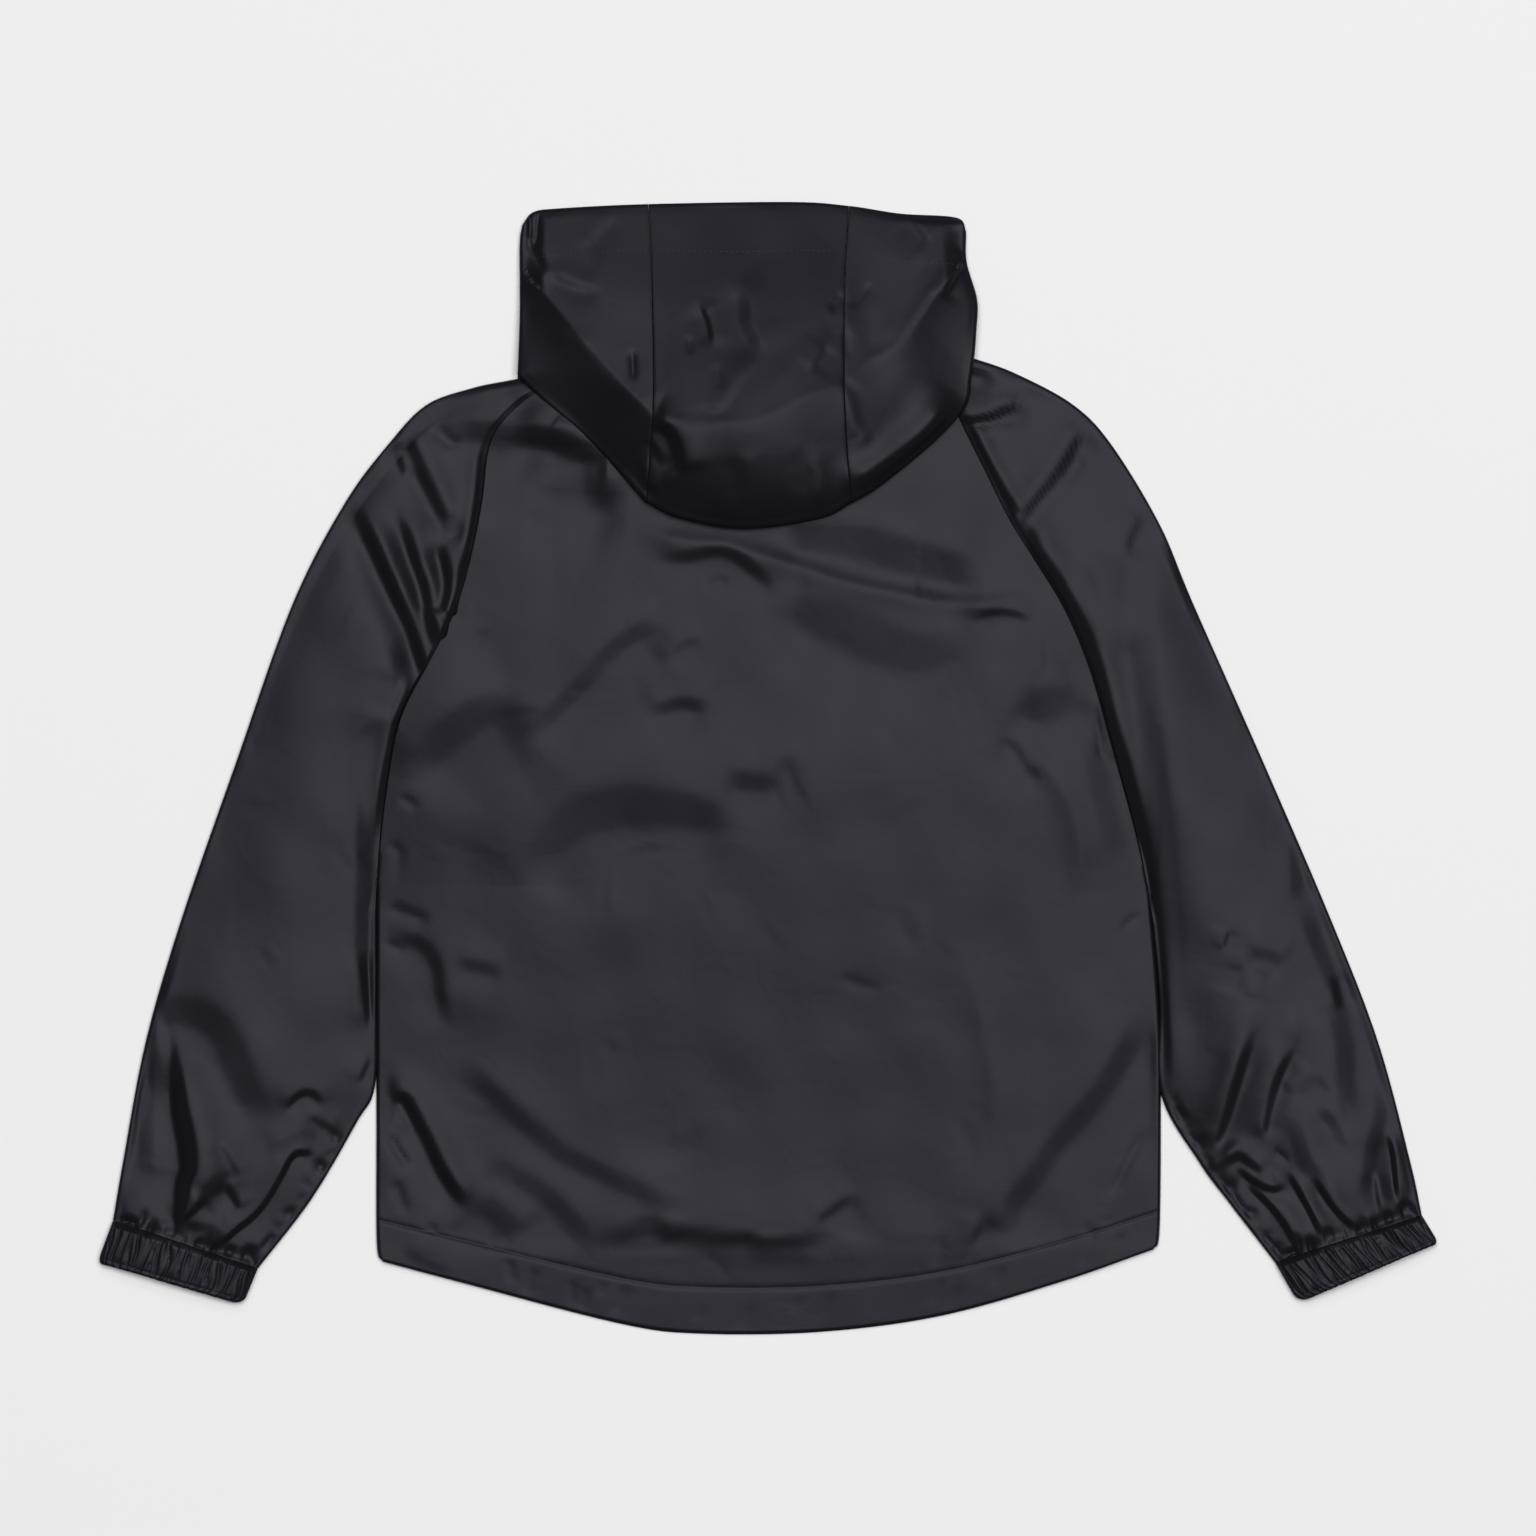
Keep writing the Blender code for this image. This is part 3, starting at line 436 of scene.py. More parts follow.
BACK_CREASES = [
    # upper back
    drop(SOFT, 12.3, (-102, 177), (-100, 166), (-97, 155)),
    drop(FIRM, 16, (-143, 160), (-110, 160), (-76, 150)),
    ridge(1.3, 5.0, 8.0, (-78, 140), (-50, 134), (-25, 131), (0, 124), (20, 118), (40, 111),
          (60, 106), (80, 102), (100, 98.5), (120, 97), (135, 99), (143, 106), fade=(.12, .12)),
    drop(FIRM, 7, (-70, 122), (-50, 121), (-30, 125), (-20, 123), (-8, 114), (0, 106), (8, 97)),
    drop(MILD, 16, (2, 134), (45, 131), (90, 119), (130, 110), belly=1.5, fade=(.15, .2)),
    drop(SOFT, 9, (-4, 97), (40, 83), (84, 66), (124, 78), belly=3.2, fade=(.2, .2)),
    drop(FIRM, 4, (115, 84), (125, 89), (140, 89), (154, 84)),
    # middle of the back
    drop(MILD, 8, (-212, -12), (-190, 13), (-167, 31), (-142, 46), belly=2.8),
    drop(MILD, 11, (-56, 86), (-75, 78), (-92, 66), (-105, 50), (-125, 30), (-140, 14),
         fade=(.2, .2)),
    drop(SOFT, 6, (-36, 74), (-50, 70), (-58, 59)),
    drop(MILD, 8, (-72, 30), (-50, 37), (-31, 33)),
    groove(SOFT, 3.0, (-38, 104), (-22, 108)),
    drop(SOFT, 11, (-14, -32), (-50, -24), (-80, -22), (-105, -26), (-127, -43), (-144, -70),
         belly=2.4, fade=(.15, .1)),
    drop(SOFT, 11, (-30, -5), (0, -8), (10, 2), (24, 4)),
    drop(SOFT, 5, (131, 20), (142, 12), (150, 0), (161, -8)),
    drop(SOFT, 9, (139, 43), (160, 36), (185, 46), belly=2.4),
    ridge(0.8, 5.0, 8.0, (144, 35), (155, 15), (165, 0), (175, -15), (180, -30), (183, -50),
          (180, -88)),
    drop(-SOFT, 15.2, (184, 42), (189, 0), (198, -40), (205, -70)),
    groove(FIRM, 2.2, (188, 38), (190, 20), (193, 0)),
    groove(FIRM, 2.2, (202, -94), (215, -83)),
    groove(FIRM, 2.2, (-212, -16), (-200, -24)),
    groove(FIRM, 2.2, (-218, -42), (-208, -53)),
    groove(FIRM, 2.4, (-222, -52), (-207, -60)),
    groove(FIRM, 3.2, (-221, -80), (-208, -84), (-193, -90)),
    groove(FIRM, 2.2, (-221, -100), (-208, -107)),
    drop(FIRM, 7, (-222, -98), (-205, -99), (-196, -104), (-190, -115), (-188, -130),
         (-183, -152)),
    drop(SOFT, 7.6, (-182, -110), (-150, -118)),
    groove(SOFT, 2.4, (-163, 80), (-170, 65)),
    # lower back and hem
    drop(SHARP, 5, (-219, -189), (-209, -190), (-203, -200), (-195, -215), (-188, -230),
         (-180, -243), (-172, -254), tail=2.5, fade=(.1, .2)),
    ridge(0.8, 3.0, 3.0, (-221, -189), (-212, -198), (-204, -210)),
    groove(DEEP, 2.0, (-219, -192), (-213, -203)),
    groove(DEEP, 2.2, (-218, -209), (-213, -220), (-205, -232)),
    groove(FIRM, 2.8, (-215, -236), (-208, -258)),
    drop(SOFT, 11, (-186, -168), (-165, -182), (-150, -195), (-135, -208), (-118, -222),
         (-100, -231), (-80, -240), (-60, -248), (-42, -245), fade=(.2, .2)),
    drop(SOFT, 12, (-170, -227), (-150, -232), (-135, -240), (-120, -252), (-108, -268),
         (-102, -287)),
    drop(SOFT, 15.2, (-168, -244), (-154, -258), (-140, -272)),
    drop(MILD, 17, (-106, -276), (-62, -270), (-8, -277), (44, -277), fade=(.2, .2)),
    drop(SOFT, 9.5, (-62, -256), (-60, -272)),
    drop(SOFT, 9.5, (-8, -266), (-6, -284)),
    drop(SOFT, 9.5, (40, -266), (37, -284)),
    groove(FIRM, 3.0, (-42, -284), (-32, -282), (-22, -295)),
    drop(FIRM, 5, (52, -244), (40, -252), (25, -263)),
    groove(SOFT, 2.4, (58, -290), (65, -277), (70, -288)),
    groove(SOFT, 3.0, (101, -266), (95, -289)),
    drop(FIRM, 6, (125, -254), (118, -272), (107, -288)),
    drop(MILD, 14, (219, -136), (212, -150), (203, -168), (192, -185), (180, -200), (165, -217),
         (155, -232), (143, -248), (138, -262), (131, -280), fade=(.2, .2)),
    groove(FIRM, 3.0, (219, -206), (210, -220), (203, -235), (195, -249)),
    groove(SOFT, 3.0, (40, -120), (57, -126), (67, -124)),
    ridge(0.6, 6.0, 8.0, (119, -108), (128, -150), (135, -190), (127, -232)),
    groove(DEEP, 2.4, (-150, -281), (-148, -290), (-147, -298)),
    groove(DEEP, 2.6, (-133, -286), (-137, -295), (-140, -304)),
    groove(DEEP, 2.4, (-112, -293), (-113, -311)),
    groove(DEEP, 2.4, (-104, -298), (-108, -313)),
    groove(FIRM, 2.2, (-93, -295), (-97, -304)),
    groove(DEEP, 2.6, (-80, -296), (-84, -305), (-89, -316)),
    groove(FIRM, 2.2, (-37, -309), (-41, -318)),
    groove(FIRM, 2.4, (-8, -308), (-18, -323)),
    drop(FIRM, 5, (-212, -277), (-195, -285), (-178, -291)),
    groove(FIRM, 2.4, (38, -300), (28, -319)),
    groove(FIRM, 2.2, (20, -304), (13, -313)),
    groove(FIRM, 2.2, (110, -296), (103, -312)),
    groove(FIRM, 2.2, (100, -293), (94, -310)),
    groove(FIRM, 2.2, (135, -285), (130, -299)),
    groove(FIRM, 2.6, (188, -263), (180, -289)),
    groove(FIRM, 2.4, (205, -267), (195, -284)),
]

SLEEVE_CREASES = [
    # left cap
    drop(SHARP, 5, (-240, 156), (-230, 135), (-222, 118), (-213, 98), (-205, 80), (-198, 58),
         (-190, 36), belly=1.4, tail=2.0, fade=(.25, .25)),
    drop(SHARP, 4, (-216, 150), (-209, 138), (-203, 120), (-197, 103), (-194, 85), (-189, 68),
         (-183, 52), flare=2.2, tail=1.2, fade=(.25, .35)),
    drop(SHARP, 5, (-189, 132), (-185, 115), (-184, 103), (-187, 88), tail=2, fade=(.3, .05)),
    drop(DEEP, 5, (-209, 192), (-203, 180), (-197, 166), (-190, 152), (-184, 139), belly=1.4,
         tail=3, fade=(.12, .15)),
    drop(DEEP, 4, (-217, 192), (-212, 178), (-207, 164), tail=3, fade=(.12, .3)),
    groove(DEEP, 2.4, (-191, 198), (-186, 190), (-177, 183)),
    groove(FIRM, 2.4, (-190, 142), (-186, 132)),
    groove(FIRM, 2.4, (-175, 140), (-183, 130)),
    drop(-MILD, 11, (-217, 78), (-211, 56), (-213, 36), (-221, 10)),
    drop(-FIRM, 5, (-208, 54), (-212, 40), (-217, 26)),
    # right cap
    drop(DEEP, 6, (184, 197), (177, 187), (171, 177), (163, 165), (154, 154), (147, 142),
         (144, 126), tail=3, fade=(.15, .1)),
    groove(FIRM, 2.4, (182, 180), (170, 163)),
    drop(SHARP, 4, (108, 199), (125, 201), (135, 205), (149, 213), tail=3, fade=(.05, .3)),
    ridge(0.8, 3.0, 4.0, (110, 194), (125, 197), (142, 199)),
    drop(FIRM, 4, (122, 221), (145, 219), (168, 212)),
    drop(SHARP, 5, (110, 231), (119, 229), (130, 227), tail=2, fade=(.05, .3)),
    drop(MILD, 14, (178, 126), (186, 98), (195, 60)),
    drop(FIRM, 4, (218, 150), (210, 135), (205, 120)),
    drop(SOFT, 17, (222, 138), (216, 108), (215, 80), (218, 40), (222, 0), (226, -30),
         (229, -60), (232, -100), (233, -150), fade=(.12, .12)),
    # beside the seams
    drop(DEEP, 7, (141, 152), (155, 124), (171, 99), (187, 64), (198, 22), (205, 0), (215, -40),
         (221, -80), (225, -120), (228, -160), (230, -192), belly=1.2, tail=3, fade=(.08, .12)),
    drop(-MILD, 10, (-231, -8), (-232, -60), (-233, -120), (-230, -158), fade=(.2, .2)),
    drop(-DEEP, 4, (-234, -103), (-231, -130), (-229, -152), tail=4),
    drop(-DEEP, 4, (-200, 60), (-209, 40), (-216, 18), (-222, -12), (-226, -50), tail=3),
    drop(-DEEP, 4, (-164, 190), (-167, 156), (-173, 124), (-180, 103), tail=3, fade=(.2, .2)),
    drop(DEEP, 4, (114, 201), (128, 173), (144, 145), tail=3, fade=(.2, .1)),
    # left sleeve
    drop(SOFT, 15, (-353, -141), (-335, -139), (-319, -146), (-310, -158), (-303, -175),
         (-296, -190), (-288, -206), belly=1.3, fade=(.06, .2)),
    drop(MILD, 9, (-355, -148), (-357, -195), (-357, -246)),
    drop(SHARP, 2.4, (-342, -150), (-340, -175), (-338, -195), (-334, -215), (-333, -230),
         (-336, -240), (-339, -266), flare=1.3, belly=3.4, tail=3, fade=(.35, .06)),
    drop(SOFT, 9, (-331, -258), (-322, -244), (-310, -236), (-298, -250)),
    drop(DEEP, 3.0, (-279, -197), (-270, -188), (-262, -187), (-254, -195), tail=5),
    drop(FIRM, 3.4, (-266, -199), (-248, -209)),
    drop(SOFT, 7, (-286, -222), (-272, -213), (-256, -209)),
    drop(FIRM, 3, (-228, -165), (-236, -182)),
    drop(SHARP, 2.6, (-259, -222), (-272, -222), (-280, -235), (-287, -247), (-295, -257),
         (-305, -265), (-316, -275), tail=4, fade=(.12, .1)),
    drop(DEEP, 3.4, (-313, -237), (-302, -255), tail=5),
    drop(SHARP, 2.8, (-322, -246), (-332, -256), (-341, -263), tail=4),
    drop(FIRM, 3.4, (-316, -213), (-302, -237)),
    # right sleeve
    drop(SOFT, 11, (287, -128), (279, -150), (272, -172), (262, -196), (253, -217)),
    drop(DEEP, 4, (281, -146), (274, -165), (268, -185), (262, -205), (255, -221), belly=1.5,
         tail=4, fade=(.35, .15)),
    drop(SOFT, 10, (314, -137), (302, -155), (288, -178), (276, -200), (268, -214)),
    drop(DEEP, 3.4, (305, -158), (296, -172), (290, -188), (286, -205), (285, -214), belly=1.5,
         tail=4, fade=(.3, .15)),
    drop(SOFT, 8, (316, -174), (300, -190)),
    drop(-SOFT, 12, (325, -130), (331, -160), (332, -182), (338, -207)),
    drop(MILD, 10, (301, -196), (308, -225), (318, -240), (328, -260)),
    drop(MILD, 7, (313, -194), (325, -205), (332, -224)),
    drop(-SOFT, 8, (352, -178), (352, -200), (346, -222), (344, -250)),
    drop(DEEP, 3.2, (348, -231), (352, -257), tail=4),
    drop(SHARP, 3, (355, -208), (359, -222), (362, -252), tail=3),
    ridge(1.2, 3.6, 4.0, (250, -228), (262, -221), (271, -211)),
    drop(DEEP, 4, (261, -229), (270, -223), (277, -227), (287, -234), tail=4),
    drop(SHARP, 3, (268, -229), (280, -238), (290, -242), (299, -239), tail=3),
    drop(SHARP, 3, (273, -238), (285, -248), (293, -257), (299, -266), (306, -281), tail=3),
    drop(SHARP, 3, (298, -231), (306, -245), (312, -256), (319, -271), tail=3),
    drop(SHARP, 3, (313, -234), (323, -250), (332, -260), (342, -266), tail=3),
    groove(FIRM, 2.4, (290, -219), (300, -227)),
    groove(FIRM, 2.2, (257, -232), (265, -243), (279, -260)),
    drop(-SOFT, 8, (303, -40), (304, -58), (304, -80)),
    drop(-SOFT, 9, (306, -74), (315, -100), (325, -124), (333, -150)),
    drop(-FIRM, 4, (324, -118), (329, -140)),
    drop(FIRM, 3, (265, -92), (261, -105)),
    drop(SOFT, 8, (272, -105), (286, -107), (300, -113)),
    drop(SOFT, 8, (276, -113), (272, -132)),
]

HOOD_CREASES = [
    # left casing and corner
    groove(SHARP, 2.0, (-137, 322), (-137, 302)),
    groove(SHARP, 2.0, (-132, 321), (-133, 297)),
    groove(DEEP, 3.0, (-141, 306), (-134, 296), (-128, 283)),
    drop(SOFT, 5, (-106, 296), (-99, 306), (-88, 319)),
    drop(FIRM, 5, (-128, 286), (-113, 278), (-95, 273), tail=6),
    # V of the lying hood
    ridge(0.8, 5.0, 9.0, (-122, 260), (-105, 245), (-95, 232), (-85, 222), (-75, 215),
          (-65, 205), (-52, 199), fade=(.2, .1)),
    groove(DEEP, 2.2, (-78, 241), (-77, 221)),
    drop(DEEP, 3.4, (-40, 268), (-34, 255), (-32, 240), tail=6),
    groove(FIRM, 2.2, (-46, 248), (-44, 237)),
    drop(FIRM, 8, (-22, 280), (-14, 268), (-13, 255), (-8, 245), (-2, 233)),
    drop(FIRM, 3.0, (-5, 236), (-15, 222), (-22, 212), (-28, 206), (-38, 207), (-45, 202)),
    groove(SOFT, 3.2, (-30, 232), (-27, 216)),
    drop(FIRM, 4, (34, 244), (24, 227)),
    ridge(0.5, 4.0, 10.0, (-62, 206), (-50, 199), (-42, 197.5), (-30, 199), (-18, 203)),
    ridge(0.5, 4.0, 12.0, (-26, 201), (-10, 199), (0, 204), (10, 208), (20, 215), (30, 219),
          (44, 224), fade=(.15, .05)),
    ridge(0.6, 4.0, 10.0, (43, 222), (55, 235), (70, 243), (80, 258), (88, 270), (98, 284),
          (101, 297), fade=(.05, .2)),
    ridge(1.0, 5.0, 6.0, (48, 224), (52, 200), (58, 190), (50, 176)),
    groove(FIRM, 2.6, (35, 262), (44, 273)),
    groove(FIRM, 2.4, (47, 263), (60, 279)),
    groove(FIRM, 2.0, (45, 253), (45.5, 233)),
    # right casing and edge
    drop(FIRM, 4, (80, 318), (86, 310), (94, 301)),
    drop(SHARP, 2.4, (113, 297), (109, 287), (104, 276), (100, 268), tail=3, fade=(.1, .2)),
    ridge(5.5, 10.0, 8.0, (34, 166), (54, 176), (71, 188), (86, 201), (101, 222), fade=(.25, .25)),
    # lower hood
    drop(FIRM, 5, (-60, 151), (-40, 145), (-13, 141), (25, 145), (48, 156), tail=12),
    drop(SHARP, 5, (-67, 198), (-57, 193), (-52, 183), (-49, 168), tail=2.5, fade=(.2, .2)),
    drop(DEEP, 3, (-71, 191), (-65, 184), (-60, 174), tail=4),
    drop(DEEP, 3.6, (-74, 178), (-70, 163), (-60, 159), tail=5),
    drop(SOFT, 8, (-20, 182), (-14, 164), (-18, 150)),
    drop(SOFT, 8, (22, 186), (26, 166), (20, 152)),
]


# ---------------------------------------------------------------- plan outlines
SLEEVE_PLANS: dict[Side, dict[str, tuple[Point, ...]]] = {
    Side.LEFT: {
        "outer": ((-137.0, 224.5), (-150.0, 222.2), (-170, 218), (-196, 208.5), (-217, 187),
                  (-243, 152), (-273, 94), (-305.5, 3), (-337.5, -89), (-357.5, -158),
                  (-370.5, -227), (-376.2, -260.2)),
        "inner": ((-225.4, -65), (-225.4, -130), (-226.2, -182), (-237, -204), (-263, -248),
                  (-293.6, -287.6)),
        "raglan": ((-129, 219), (-143, 209), (-156, 195), (-161.6, 179.7), (-164.5, 153.8),
                   (-171.4, 119.3), (-180, 90.6), (-194.4, 61.8), (-211.6, 27.3),
                   (-220.2, -18.7), (-225, -65)),
        "cuff_end": ((-385.0, -284.2), (-302.1, -308.3)),
    },
    Side.RIGHT: {
        "outer": ((111.5, 236.5), (120, 234.5), (142, 226.5), (174.5, 209), (196.5, 186.5),
                  (224.5, 140.5), (244, 94.5), (284.5, 3), (324, -89), (350.5, -158),
                  (369, -227), (375.5, -257.3)),
        "inner": ((219.6, -73), (225.2, -134), (226.2, -187), (248.2, -226.5),
                  (265.2, -249.5), (291.8, -284)),
        "raglan": ((103, 220), (108, 206), (113.3, 194.1), (124.8, 171.1), (139.2, 142.3),
                   (153.5, 119.3), (170.8, 90.6), (185.2, 56.1), (196.7, 15.8),
                   (211, -35.9), (219, -73)),
        "cuff_end": ((385.0, -272.9), (305.0, -307.1)),
    },
}
BODY_SIDES = {
    Side.LEFT: ((-221.5, -283.5), (-224.6, -272), (-224.8, -200), (-224.8, -65)),
    Side.RIGHT: ((221.5, -276.5), (224.8, -265), (225.5, -190), (224.4, -134), (219.2, -73)),
}
HEM = ((-221.5, -283.5), (-177, -295.3), (-85, -319.2), (-39, -325), (30, -324),
       (99, -314.8), (168, -295.3), (221.5, -276.5))
BACK_NECK = ((-129, 219), (-70, 215), (-14, 213), (50, 215), (103, 220))
FRONT_NECKS = {  # from the shoulder to the zip
    Side.LEFT: ((-143.8, 226.2), (-136.2, 226), (-127.5, 220.3), (-112, 194), (-88, 173),
                (-50, 160), (-5.5, 156)),
    Side.RIGHT: ((118.5, 238.5), (110.8, 238.2), (101.2, 221.2), (88, 188), (66, 169),
                 (36, 159), (5.5, 156)),
}
FACE_EDGE = ((-135, 319.2), (-120, 321.5), (-68, 324), (12.5, 325.2), (46, 323), (76, 318.5),
             (108, 316.2))
FACE_CORNERS = {Side.LEFT: (-141.2, 311.5), Side.RIGHT: (113.6, 308.5)}
HOOD_SEAMS = {
    Side.LEFT: ((-68.8, 324.1), (-67.0, 295), (-66.2, 262), (-65.6, 215), (-67.6, 180),
                (-70, 152.5)),
    Side.RIGHT: ((46.6, 322.9), (44.2, 285), (43.6, 250), (43.6, 215), (45.4, 180),
                 (48, 152.5)),
}
SIDE_FOLDS = {  # from the face edge's corner to the shoulder
    Side.LEFT: ((-141.2, 311.5), (-142.5, 300), (-142.5, 262), (-143.8, 226.2)),
    Side.RIGHT: ((113.6, 308.5), (114, 290.5), (120, 269), (119.5, 251.5), (118.5, 238.5)),
}
LOWER_FOLDS = {  # from the shoulder to the centre panel
    Side.LEFT: ((-143.8, 226.2), (-128.5, 211), (-96.5, 182.5), (-70, 152.5)),
    Side.RIGHT: ((118.5, 238.5), (116.5, 225), (113.3, 208.4), (96, 188.3), (64.5, 162.5),
                 (48, 152.5)),
}
CENTRE_FOLD = ((-70, 152.5), (-50.5, 143.5), (-13, 137.7), (30, 143.5), (48, 152.5))
OPENING_CORNERS = {Side.LEFT: (-132, 314), Side.RIGHT: (104.5, 311)}
SHOULDER_SEAMS = {  # where a side panel's neck end meets the sleeve and the back
    Side.LEFT: ((-138.5, 224.3), (-129, 219), (-100, 216.8), (-69, 215)),
    Side.RIGHT: ((112.5, 235), (104, 220), (80, 217), (47, 215)),
}
HOOD_RIDGE = ((-147, 292), (-131, 275), (-74, 211), (-45, 199), (-5, 200), (18, 211), (64, 229),
              (99, 275), (122, 304))


# ---------------------------------------------------------------- finishes
class Look:
    """A material in the making: its Principled shader and the nodes that feed it."""

    def __init__(self, name: str) -> None:
        """Starts a material that is read at the piece's own coordinates.

        Args:
            name: the material's name.
        """
        self.made = bpy.data.materials.new(name)
        self.made.use_nodes = True
        self.tree = self.made.node_tree
        self.shader = self.tree.nodes["Principled BSDF"]
        self.place = self.node("ShaderNodeTexCoord").outputs["Object"]

    def fill(self, node: bpy.types.Node, **values: Value | str | tuple | Socket) -> None:
        """Sets a node's settings and inputs.

        Args:
            node: the node.
            values: its settings, and its inputs with spaces written as underlines. A socket
                is linked to its input.
        """
        for key, value in values.items():
            if hasattr(node, key):
                setattr(node, key, value)
            elif isinstance(value, Socket):
                self.tree.links.new(value, node.inputs[key.replace("_", " ")])
            else:
                node.inputs[key.replace("_", " ")].default_value = value

    def node(self, kind: str, **values: Value | str | tuple | Socket) -> bpy.types.Node:
        """A new node of a kind, filled with values."""
        made = self.tree.nodes.new(kind)
        self.fill(made, **values)
        return made

    def texture(self, kind: str, **values: Value | str | Socket) -> Socket:
        """The strength of a new procedural texture."""
        values = {"Vector": self.place} | values
        return self.node(f"ShaderNodeTex{kind}", **values).outputs["Fac"]

    def tone(self, share: Socket, low: Triple, high: Triple) -> None:
        """Mixes the base colour from two colours.

        Args:
            share: how much of the second colour shows.
            low: the first colour.
            high: the second colour.
        """
        mix = self.node("ShaderNodeMix", data_type="RGBA")
        mix.inputs[6].default_value, mix.inputs[7].default_value = (*low, 1), (*high, 1)
        self.tree.links.new(share, mix.inputs[0])
        self.fill(self.shader, Base_Color=mix.outputs[2])

    def gloss(self, share: Socket, low: float, high: float) -> None:
        """Spreads the roughness between two values."""
        spread = self.node("ShaderNodeMapRange", Value=share, To_Min=low, To_Max=high)
        self.fill(self.shader, Roughness=spread.outputs["Result"])

    def bump(self, height: Socket, strength: float, distance: float, **under: Socket) -> Socket:
        """Adds bumps.

        Args:
            height: the texture that raises them.
            strength: how strongly they show.
            distance: how high they are, in metres.
            under: other bumps that they lie over, as Normal.

        Returns:
            Their normals.
        """
        made = self.node("ShaderNodeBump", Strength=strength, Distance=distance, Height=height,
                         **under).outputs["Normal"]
        self.fill(self.shader, Normal=made)
        return made


def scaled(colour: Triple, share: float) -> Triple:
    """A colour made darker or lighter."""
    return tuple(share * channel for channel in colour)


def wave_scale(pitch: float) -> float:
    """The wave texture's scale for a distance from one band to the next."""
    return 2 * math.pi / 20 / pitch


@dataclass(frozen=True)
class WovenCloth:
    """Thin coated cloth: a plain weave, soft blotches of tone and a little crumple."""

    name: str
    colour: Triple
    roughness: float = 0.38
    roughness_change: float = 0.04
    specular: float = 0.105
    sheen_colour: Triple = (0.85, 0.82, 1.0)
    thread: float = 0.00055  # from one thread to the next
    weave_depth: float = 0.00002
    weave_strength: float = 0.6
    crumple_size: float = 0.011
    crumple_depth: float = 0.00022
    blotch_scale: float = 38.0
    tone_change: float = 0.16

    def material(self) -> Material:
        """Builds the finish.

        Returns:
            The material.
        """
        look = Look(self.name)
        blotches = look.texture("Noise", Scale=self.blotch_scale, Detail=3.0, Roughness=0.6)
        crumple = look.texture("Noise", Scale=1 / self.crumple_size / 2, Detail=3.0,
                               Roughness=0.55, Distortion=0.6)
        threads = look.node("ShaderNodeMath", operation="MAXIMUM")
        for socket, direction in zip(threads.inputs, "XY"):
            look.tree.links.new(look.texture(
                "Wave", wave_type="BANDS", bands_direction=direction, wave_profile="SIN",
                Scale=wave_scale(self.thread), Distortion=0.0), socket)
        look.tone(blotches, scaled(self.colour, 1 - self.tone_change),
                  scaled(self.colour, 1 + self.tone_change))
        look.gloss(blotches, self.roughness - self.roughness_change,
                   self.roughness + self.roughness_change)
        soft = look.bump(crumple, 1.0, self.crumple_depth)
        look.bump(threads.outputs["Value"], self.weave_strength, self.weave_depth, Normal=soft)
        look.fill(look.shader, Specular_IOR_Level=self.specular,
                  Specular_Tint=(*self.sheen_colour, 1.0))
        return look.made


@dataclass(frozen=True)
class WornMetal:
    """Dark plated metal, rubbed on its edges."""

    name: str
    colour: Triple
    rubbed: Triple
    roughness: float = 0.34
    metallic: float = 0.9
    grain: float = 0.00006
    brush_scale: Triple = (900.0, 240.0, 900.0)
    worn_range: Pair = (0.52, 0.62)

    def material(self) -> Material:
        """Builds the finish.

        Returns:
            The material.
        """
        look = Look(self.name)
        stretched = look.node("ShaderNodeMapping", Scale=self.brush_scale, Vector=look.place)
        brushed = look.texture("Noise", Scale=4.0, Detail=4.0,
                               Vector=stretched.outputs["Vector"])
        worn = look.node("ShaderNodeMapRange", From_Min=self.worn_range[0],
                         From_Max=self.worn_range[1],
                         Value=look.node("ShaderNodeNewGeometry").outputs["Pointiness"])
        look.tone(worn.outputs["Result"], self.colour, self.rubbed)
        look.gloss(brushed, self.roughness - 0.08, self.roughness + 0.10)
        look.bump(brushed, 0.4, self.grain)
        look.fill(look.shader, Metallic=self.metallic)
        return look.made


@dataclass(frozen=True)
class Thread:
    """Twisted sewing thread: fine slanting strands."""

    name: str
    colour: Triple
    roughness: float = 0.6
    strand: float = 0.00035
    strand_depth: float = 0.0001

    def material(self) -> Material:
        """Builds the finish.

        Returns:
            The material.
        """
        look = Look(self.name)
        twist = look.texture("Wave", wave_type="BANDS", bands_direction="DIAGONAL",
                             Scale=wave_scale(self.strand))
        fuzz = look.texture("Noise", Scale=900.0, Detail=2.0)
        look.tone(fuzz, scaled(self.colour, 0.6), scaled(self.colour, 1.3))
        look.bump(twist, 0.8, self.strand_depth)
        look.fill(look.shader, Roughness=self.roughness)
        return look.made


FINISHES = {
    "shell": WovenCloth("shell_cloth_look", (0.0058, 0.0054, 0.0078)),
    # The centre panel's finish is the shell cloth made a little darker and less glossy: painted
    # shade for its sheen, which its grain turns away from the light.
    "hood_centre_painted_shade": WovenCloth("hood_centre_painted_shade_look", (0.0052, 0.0049, 0.0071), roughness=0.39,
                              specular=0.098),
    "tape": WovenCloth("zip_tape_look", (0.010, 0.010, 0.012), roughness=0.72, specular=0.3,
                       thread=0.0011, weave_depth=0.00012, crumple_depth=0.00004),
    "teeth": WornMetal("zip_teeth_look", (0.016, 0.016, 0.018), (0.05, 0.05, 0.055),
                       roughness=0.42, metallic=0.0),
    "metal": WornMetal("zip_metal_look", (0.030, 0.030, 0.034), (0.24, 0.24, 0.25)),
    "thread": Thread("thread_look", (0.011, 0.011, 0.014)),
}


